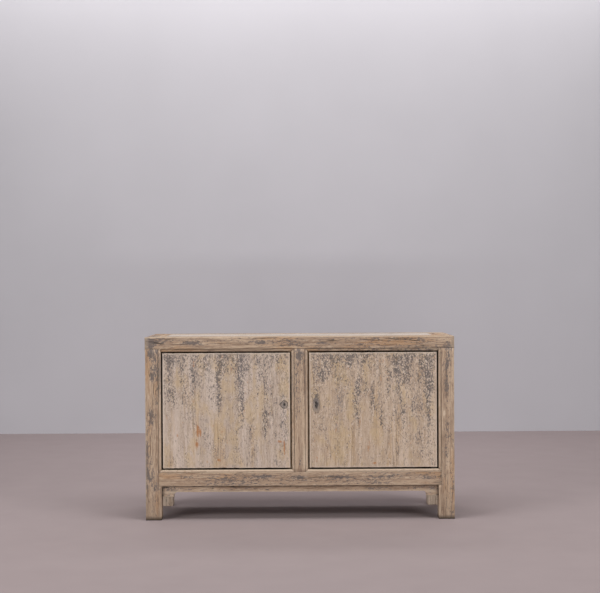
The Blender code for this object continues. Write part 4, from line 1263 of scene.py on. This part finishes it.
stile = sweep(
    stile_section,
    stations(RAIL_TOP - BEAD, TOP_UNDER, [], 1),
    lambda place, u, v: (u - STILE_HALF, FRONT + v, place),
    double=True,
)
beaded_member("centre_stile", Z, visible("centre_stile", x=BURIED, z=BURIED), stile)
print("front frame done")

# %% [markdown]
# ### Top front rail
#
# The thick front of the top carries the beaded lip below its face. It is covered by the posts at both
# ends and by the stile in the middle, and it meets the top's end rails on a mitre.

# %% Make the top front rail
MITRE_ZONE = 0.2
MITRE_START = 0.004
# The lip lies in the shade of the top's overhang, so its quirk and its whole bead are painted darker as
# shade.
LIP_QUIRK_SHADE = 0.68
LIP_BEAD_SHADE = 0.25


def top_section():
    depth = -FIELD_Y - FRONT
    lip_back = FRAME_BACK - FRONT
    thick = HEIGHT - OPENING_TOP
    bead = bead_section()
    outline = bead + outline_between([(BEAD, 0), (thick, 0), (thick, depth)])
    below = [(BEAD, depth), (BEAD, lip_back), (0, lip_back), bead[0]]
    for start, stop in zip(below, below[1:]):
        outline += run(start, stop, DEPTH_STEP)
    return outline


def on_top_rail(place, u, v):
    """Draws the ends in along the corner mitre, over the last stretch of the rail."""
    near_end = max(0.0, abs(place) - HALF_WIDTH + MITRE_ZONE) / MITRE_ZONE
    drawn_in = max(0.0, v - MITRE_START) * near_end
    return (place - math.copysign(drawn_in, place), FRONT + v, OPENING_TOP + u)


post_covers = [(BURIED[0], -reach, 0, 1), (reach, BURIED[1], 1, 0)]
top_rail = sweep(
    top_section(),
    stations(-HALF_WIDTH, HALF_WIDTH, post_covers + [stile_cover], 0),
    on_top_rail,
    wear_and_highlight=0.0,
    dirt_and_shade=LIP_QUIRK_SHADE,
    shade=LIP_BEAD_SHADE,
)
beaded_member("top_front_rail", X, visible("top_front_rail", z=(HEIGHT, HEIGHT)), top_rail)
print("top front rail done")

# %% [markdown]
# ## Aprons
#
# A thin board with a small coved spandrel at each end stiffens the frame below the rails. Its outline
# is one flat face with four arcs, pulled to its thickness. Planes then slice it into short stretches, so
# that the ageing has points to move.

# %% Make the aprons
SPANDREL_WIDTH = 0.054
SPANDREL_DROP = 0.021
SPANDREL_COVE = 0.013
SPANDREL_EASE = 0.0025
ARC_STEPS = 6
SLICE = 0.012
SHARP_ANGLE = 1.2
APRON_ARRIS = 0.0012
APRON_ARRIS_REACH = 0.0055
APRON_SHADE_REACH = 0.0035


def quarter(centre, radius, start):
    angles = [start + math.pi / 2 * step / ARC_STEPS for step in range(ARC_STEPS + 1)]
    return [(centre[0] + radius * math.cos(a), centre[1] + radius * math.sin(a)) for a in angles]


def apron_outline(half, foot, top):
    """Right half from the middle outwards: strip edge, cove, spandrel foot, end; then mirrored."""
    strip = foot + SPANDREL_DROP
    inner = half - SPANDREL_WIDTH
    cove = quarter((inner - SPANDREL_COVE, strip - SPANDREL_COVE), SPANDREL_COVE, 0)[::-1]
    toe = quarter((inner + SPANDREL_EASE, foot + SPANDREL_EASE), SPANDREL_EASE, math.pi)
    right = cove + toe + [(half, foot), (half, top)]
    return right + [(-u, v) for u, v in reversed(right)]


def slice_up(bm, axis, start, stop, spacing):
    across = Vector((0, 0, 0))
    across[axis] = 1
    for k in range(1, math.ceil((stop - start) / spacing)):
        everything = bm.verts[:] + bm.edges[:] + bm.faces[:]
        bmesh.ops.bisect_plane(bm, geom=everything, plane_co=across * (stop - k * spacing), plane_no=across)


def split_many_sided(bm):
    """Cuts every face with more than four corners into triangles."""
    bmesh.ops.triangulate(bm, faces=[face for face in bm.faces if len(face.verts) > 4])


def apron(node, grain, half, thick_axis):
    low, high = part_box(node)
    seed = next(seeds)
    bm = bmesh.new()
    middle = (low[grain] + high[grain]) / 2
    outline = []
    for u, v in apron_outline(half, low.z, LEG_HEIGHT):
        point = Vector((0, 0, v))
        point[grain] = middle + u
        point[thick_axis] = low[thick_axis]
        outline.append(bm.verts.new(point))
    face = bm.faces.new(outline)
    pulled = bmesh.ops.extrude_face_region(bm, geom=[face])["geom"]
    shift = Vector((0, 0, 0))
    shift[thick_axis] = high[thick_axis] - low[thick_axis]
    bmesh.ops.translate(bm, vec=shift, verts=verts_of(pulled))
    bmesh.ops.recalc_face_normals(bm, faces=bm.faces)
    slice_up(bm, grain, middle - half, middle + half, SLICE)
    slice_up(bm, Z, low.z, LEG_HEIGHT, SLICE / 2)
    between_faces = [edge for edge in bm.edges if len(edge.link_faces) == 2]
    sharp = [edge for edge in between_faces if edge.calc_face_angle() > SHARP_ANGLE]
    ease_edges(bm, sharp, APRON_ARRIS, segments=2)
    split_many_sided(bm)
    # Painted shade along the top, under the overhanging rail, and at both ends, beside the posts.
    grime_and_shade = bm.verts.layers.float.new("grime_and_shade")
    for vert in bm.verts:
        to_joint = min(LEG_HEIGHT - vert.co.z, half - abs(vert.co[grain] - middle))
        vert[grime_and_shade] = math.exp(-to_joint / APRON_SHADE_REACH)
    worn = visible(node)
    worn[grain] = BURIED
    worn[Z] = (low.z, low.z + SPANDREL_DROP)
    age(bm, worn, grain, seed, [grain], APRON_ARRIS_REACH)
    finished(node, bm, timber_finish(node, grain, seed))


apron("front_apron", X, OPENING_HALF, Y)
for label in SIDES:
    apron(f"side_apron_{label}", Y, (BACK_POST_FRONT - FRONT_POST_BACK) / 2, X)
print("aprons done")

# %% [markdown]
# ## Doors
#
# Each door is three upright boards on two battens, and its hinge board carries round pivots. The boards
# get the finest grid, because they also store where paint, scars and painted gap shade are. Streaks of
# paint and scars are soft spots again, listed as the soot is.

# %% Define the marks on the doors
PAINT_AT_FOOT = -0.32
PAINT_RISE = 0.66
TOP_BAND = 0.45
TOP_BAND_REACH = 0.04
CLOUDINESS = 0.5
CLOUD_ACROSS = 22
CLOUD_UP = 6
CLOUD_SLICE = 0.3
PAINT_INSIDE = -0.8
PAINT_DEPTH = 0.005
GAP_SHADE_REACH = 0.0028
CLEAN_ARRIS = 0.0001
STREAKS = (
    (-0.560, 0.700, 0.036, 0.030, 0.7),
    (-0.448, 0.685, 0.024, 0.034, 0.8),
    (-0.560, 0.560, 0.018, 0.040, 0.7),
    (-0.462, 0.600, 0.022, 0.080, 0.8),
    (-0.354, 0.630, 0.013, 0.090, 0.9),
    (-0.262, 0.650, 0.022, 0.080, 0.8),
    (-0.253, 0.510, 0.012, 0.070, 0.7),
    (-0.150, 0.500, 0.011, 0.120, 0.7),
    (-0.074, 0.538, 0.010, 0.018, 0.9),
    (0.074, 0.528, 0.012, 0.020, 1.2),
    (0.240, 0.700, 0.034, 0.030, 0.5),
    (0.435, 0.700, 0.060, 0.022, 0.3),
    (0.563, 0.650, 0.020, 0.080, 0.8),
    (0.561, 0.500, 0.013, 0.110, 0.9),
    (0.465, 0.640, 0.014, 0.050, 0.8),
    (0.316, 0.530, 0.009, 0.050, 1.1),
    (0.352, 0.445, 0.012, 0.050, 1.0),
    (0.447, 0.435, 0.015, 0.090, 0.9),
    (-0.162, 0.640, 0.020, 0.060, 0.6),
    (0.100, 0.620, 0.030, 0.080, 0.6),
    (0.253, 0.580, 0.018, 0.100, 0.6),
    (0.390, 0.610, 0.020, 0.080, 0.7),
    (0.482, 0.600, 0.018, 0.090, 0.6),
    (0.525, 0.330, 0.016, 0.080, 0.7),
    (0.566, 0.340, 0.020, 0.110, 0.9),
    (-0.354, 0.490, 0.012, 0.070, 0.7),
    (-0.154, 0.390, 0.011, 0.035, 0.8),
    (0.430, 0.600, 0.014, 0.080, 0.6),
    (0.430, 0.320, 0.012, 0.070, 0.6),
)
SCARS = (
    (-0.446, 0.390, 0.006, 0.032, 1.0),
    (-0.434, 0.382, 0.005, 0.020, 0.9),
    (-0.450, 0.330, 0.010, 0.014, 0.8),
    (-0.353, 0.262, 0.010, 0.008, 0.8),
    (-0.087, 0.342, 0.012, 0.007, 0.9),
    (-0.068, 0.310, 0.004, 0.042, 0.9),
    (0.326, 0.246, 0.013, 0.005, 0.9),
)


def paint_left(x, z):
    """How much paint stays here: less at the foot, a band below the top edge, clouds and streaks."""
    up = (z - DOOR_LOW.z) / (DOOR_HIGH.z - DOOR_LOW.z)
    cloud = noise.noise(Vector((x * CLOUD_ACROSS, CLOUD_SLICE, z * CLOUD_UP)))
    band = TOP_BAND * math.exp((z - DOOR_HIGH.z) / TOP_BAND_REACH)
    return PAINT_AT_FOOT + PAINT_RISE * up + CLOUDINESS * cloud + band + spots(STREAKS, x, z)


def store_gap_shade(bm, door_edges):
    """Painted shade on edges facing a gap: from the rounded arris inwards, but only deeper at the top."""
    grime_and_shade = bm.verts.layers.float.new("grime_and_shade")
    for vert in bm.verts:
        to_edge = min(abs(vert.co[axis] - end) for axis in (X, Z) for end in door_edges[axis])
        from_top = DOOR_HIGH.z - vert.co.z
        clean_depth = PAINT_DEPTH if from_top < GAP_SHADE_REACH else CLEAN_ARRIS
        depth = vert.co.y - DOOR_LOW.y
        if to_edge < GAP_SHADE_REACH and depth > clean_depth:
            vert[grime_and_shade] = gap_shade(depth)


def store_marks(bm):
    """The paint and the scars on the front; the rest of the board was never painted."""
    paint = bm.verts.layers.float.new("paint")
    scar = bm.verts.layers.float.new("scar")
    for vert in bm.verts:
        vert[paint] = PAINT_INSIDE
        if vert.co.y < DOOR_LOW.y + PAINT_DEPTH:
            vert[paint] = paint_left(vert.co.x, vert.co.z)
            vert[scar] = spots(SCARS, vert.co.x, vert.co.z)


print("marks", len(STREAKS), "streaks and", len(SCARS), "scars")

# %% [markdown]
# A wooden pivot is a turned pin, so a cone with two equal radii makes it. The two small holes of the
# old pull go right through the meeting board. A Boolean with two thin cutters drills them while the
# board is still flat, because flat faces cut cleanly.

# %% Define the pivots and the holes
PIVOT_RADIUS = 0.008
PIVOT_SIDES = 32
PIVOT_ARRIS = 0.001
PIVOT_GRIME = 0.9
RIM_ANGLE = 1.0
PULL_RADIUS = 0.0024
DRILL_LENGTH = 0.1
DRILL_SIDES = 16


def pin(bm, middle, radius, length, sides):
    made = bmesh.ops.create_cone(
        bm, cap_ends=True, segments=sides, radius1=radius, radius2=radius, depth=length
    )["verts"]
    bmesh.ops.translate(bm, vec=middle, verts=made)
    return made


def pivot(bm, place, low, high):
    """A pin at the end of the hinge board, dark with the grime of its hole."""
    grime_and_shade = bm.verts.layers.float["grime_and_shade"]
    made = pin(bm, (place[X], place[Y], (low + high) / 2), PIVOT_RADIUS, high - low, PIVOT_SIDES)
    for vert in made:
        vert[grime_and_shade] = PIVOT_GRIME
    rims = {edge for vert in made for edge in vert.link_edges if edge.calc_face_angle(0) > RIM_ANGLE}
    ease_edges(bm, list(rims), PIVOT_ARRIS, segments=2)


def drilled(bm, x, heights):
    """The same board with small holes through it from front to back."""
    board_mesh, drill_mesh = bpy.data.meshes.new("board"), bpy.data.meshes.new("drill")
    bm.to_mesh(board_mesh)
    drill_bm = bmesh.new()
    turn = Matrix.Rotation(math.pi / 2, 3, "X")
    for height in heights:
        made = pin(drill_bm, (0, 0, 0), PULL_RADIUS, DRILL_LENGTH, DRILL_SIDES)
        bmesh.ops.rotate(drill_bm, cent=(0, 0, 0), matrix=turn, verts=made)
        bmesh.ops.translate(drill_bm, vec=(x, DOOR_LOW.y, height), verts=made)
    drill_bm.to_mesh(drill_mesh)
    drill_bm.free()
    board, drill = (bpy.data.objects.new(mesh.name, mesh) for mesh in (board_mesh, drill_mesh))
    for item in (board, drill):
        bpy.context.scene.collection.objects.link(item)
    cut = board.modifiers.new("holes", "BOOLEAN")
    cut.object = drill
    result = board.evaluated_get(bpy.context.evaluated_depsgraph_get()).to_mesh()
    bm.clear()
    bm.from_mesh(result)
    for item in (board, drill):
        mesh = item.data
        bpy.data.objects.remove(item)
        bpy.data.meshes.remove(mesh)
    split_many_sided(bm)


print("pivots and holes ready")

# %% [markdown]
# A door board closes the seams to its neighbours, gets its holes and the painted shade of its gap edges
# while it is flat, and is aged after that. The battens lie across the back of the door with their tails
# hidden in the boards, so only the part behind the boards is drawn.

# %% Make the doors
DOOR_GRID = (0.0025, 0.005)
DOOR_ARRIS = 0.0016
DOOR_ARRIS_REACH = 0.0055
SEAM_CLOSE = 0.0007
PIVOT_ROOT = 0.004
PULL_PLACE = (0.0685, 0.506)
PULL_SPREAD = 0.00625


def door_board(label, place, door_edges, pivots=None, pull=None):
    node = f"{label}_door_{place}_board"
    seed = next(seeds)
    low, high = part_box(node)
    across = []
    for end, shift in ((low.x, -SEAM_CLOSE), (high.x, SEAM_CLOSE)):
        across.append(end if end in door_edges[X] else end + shift)
    bm = plank(visible(node, x=across, z=(DOOR_LOW.z, DOOR_HIGH.z)), Z, DOOR_ARRIS, DOOR_GRID)
    if pull:
        drilled(bm, pull[0], (pull[1] - PULL_SPREAD, pull[1] + PULL_SPREAD))
    store_gap_shade(bm, door_edges)
    age(bm, door_edges, Z, seed, [X], DOOR_ARRIS_REACH)
    if pivots:
        pivot(bm, pivots, low.z, DOOR_LOW.z + PIVOT_ROOT)
        pivot(bm, pivots, DOOR_HIGH.z - PIVOT_ROOT, high.z)
    store_marks(bm)
    finished(node, bm, door_finish(node, label, seed))


pivot_place = {joint["child"]: joint["pos_m"] for joint in frame["joints"]}
for label, side in SIDES.items():
    outer_boards = (f"{label}_door_hinge_board", f"{label}_door_meeting_board")
    ends = [corner.x for node in outer_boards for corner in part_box(node)]
    door_edges = [(min(ends), max(ends)), (DOOR_LOW.y, DOOR_HIGH.y), (DOOR_LOW.z, DOOR_HIGH.z)]
    door_board(label, "hinge", door_edges, pivot_place[f"{label}_door"])
    door_board(label, "middle", door_edges)
    door_board(label, "meeting", door_edges, pull=(side * PULL_PLACE[0], PULL_PLACE[1]))
    for place in ("upper", "lower"):
        node = f"{label}_door_{place}_batten"
        square_timber(node, X, RAIL_ARRIS, y=(DOOR_HIGH.y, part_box(node)[1].y))
print("doors done")
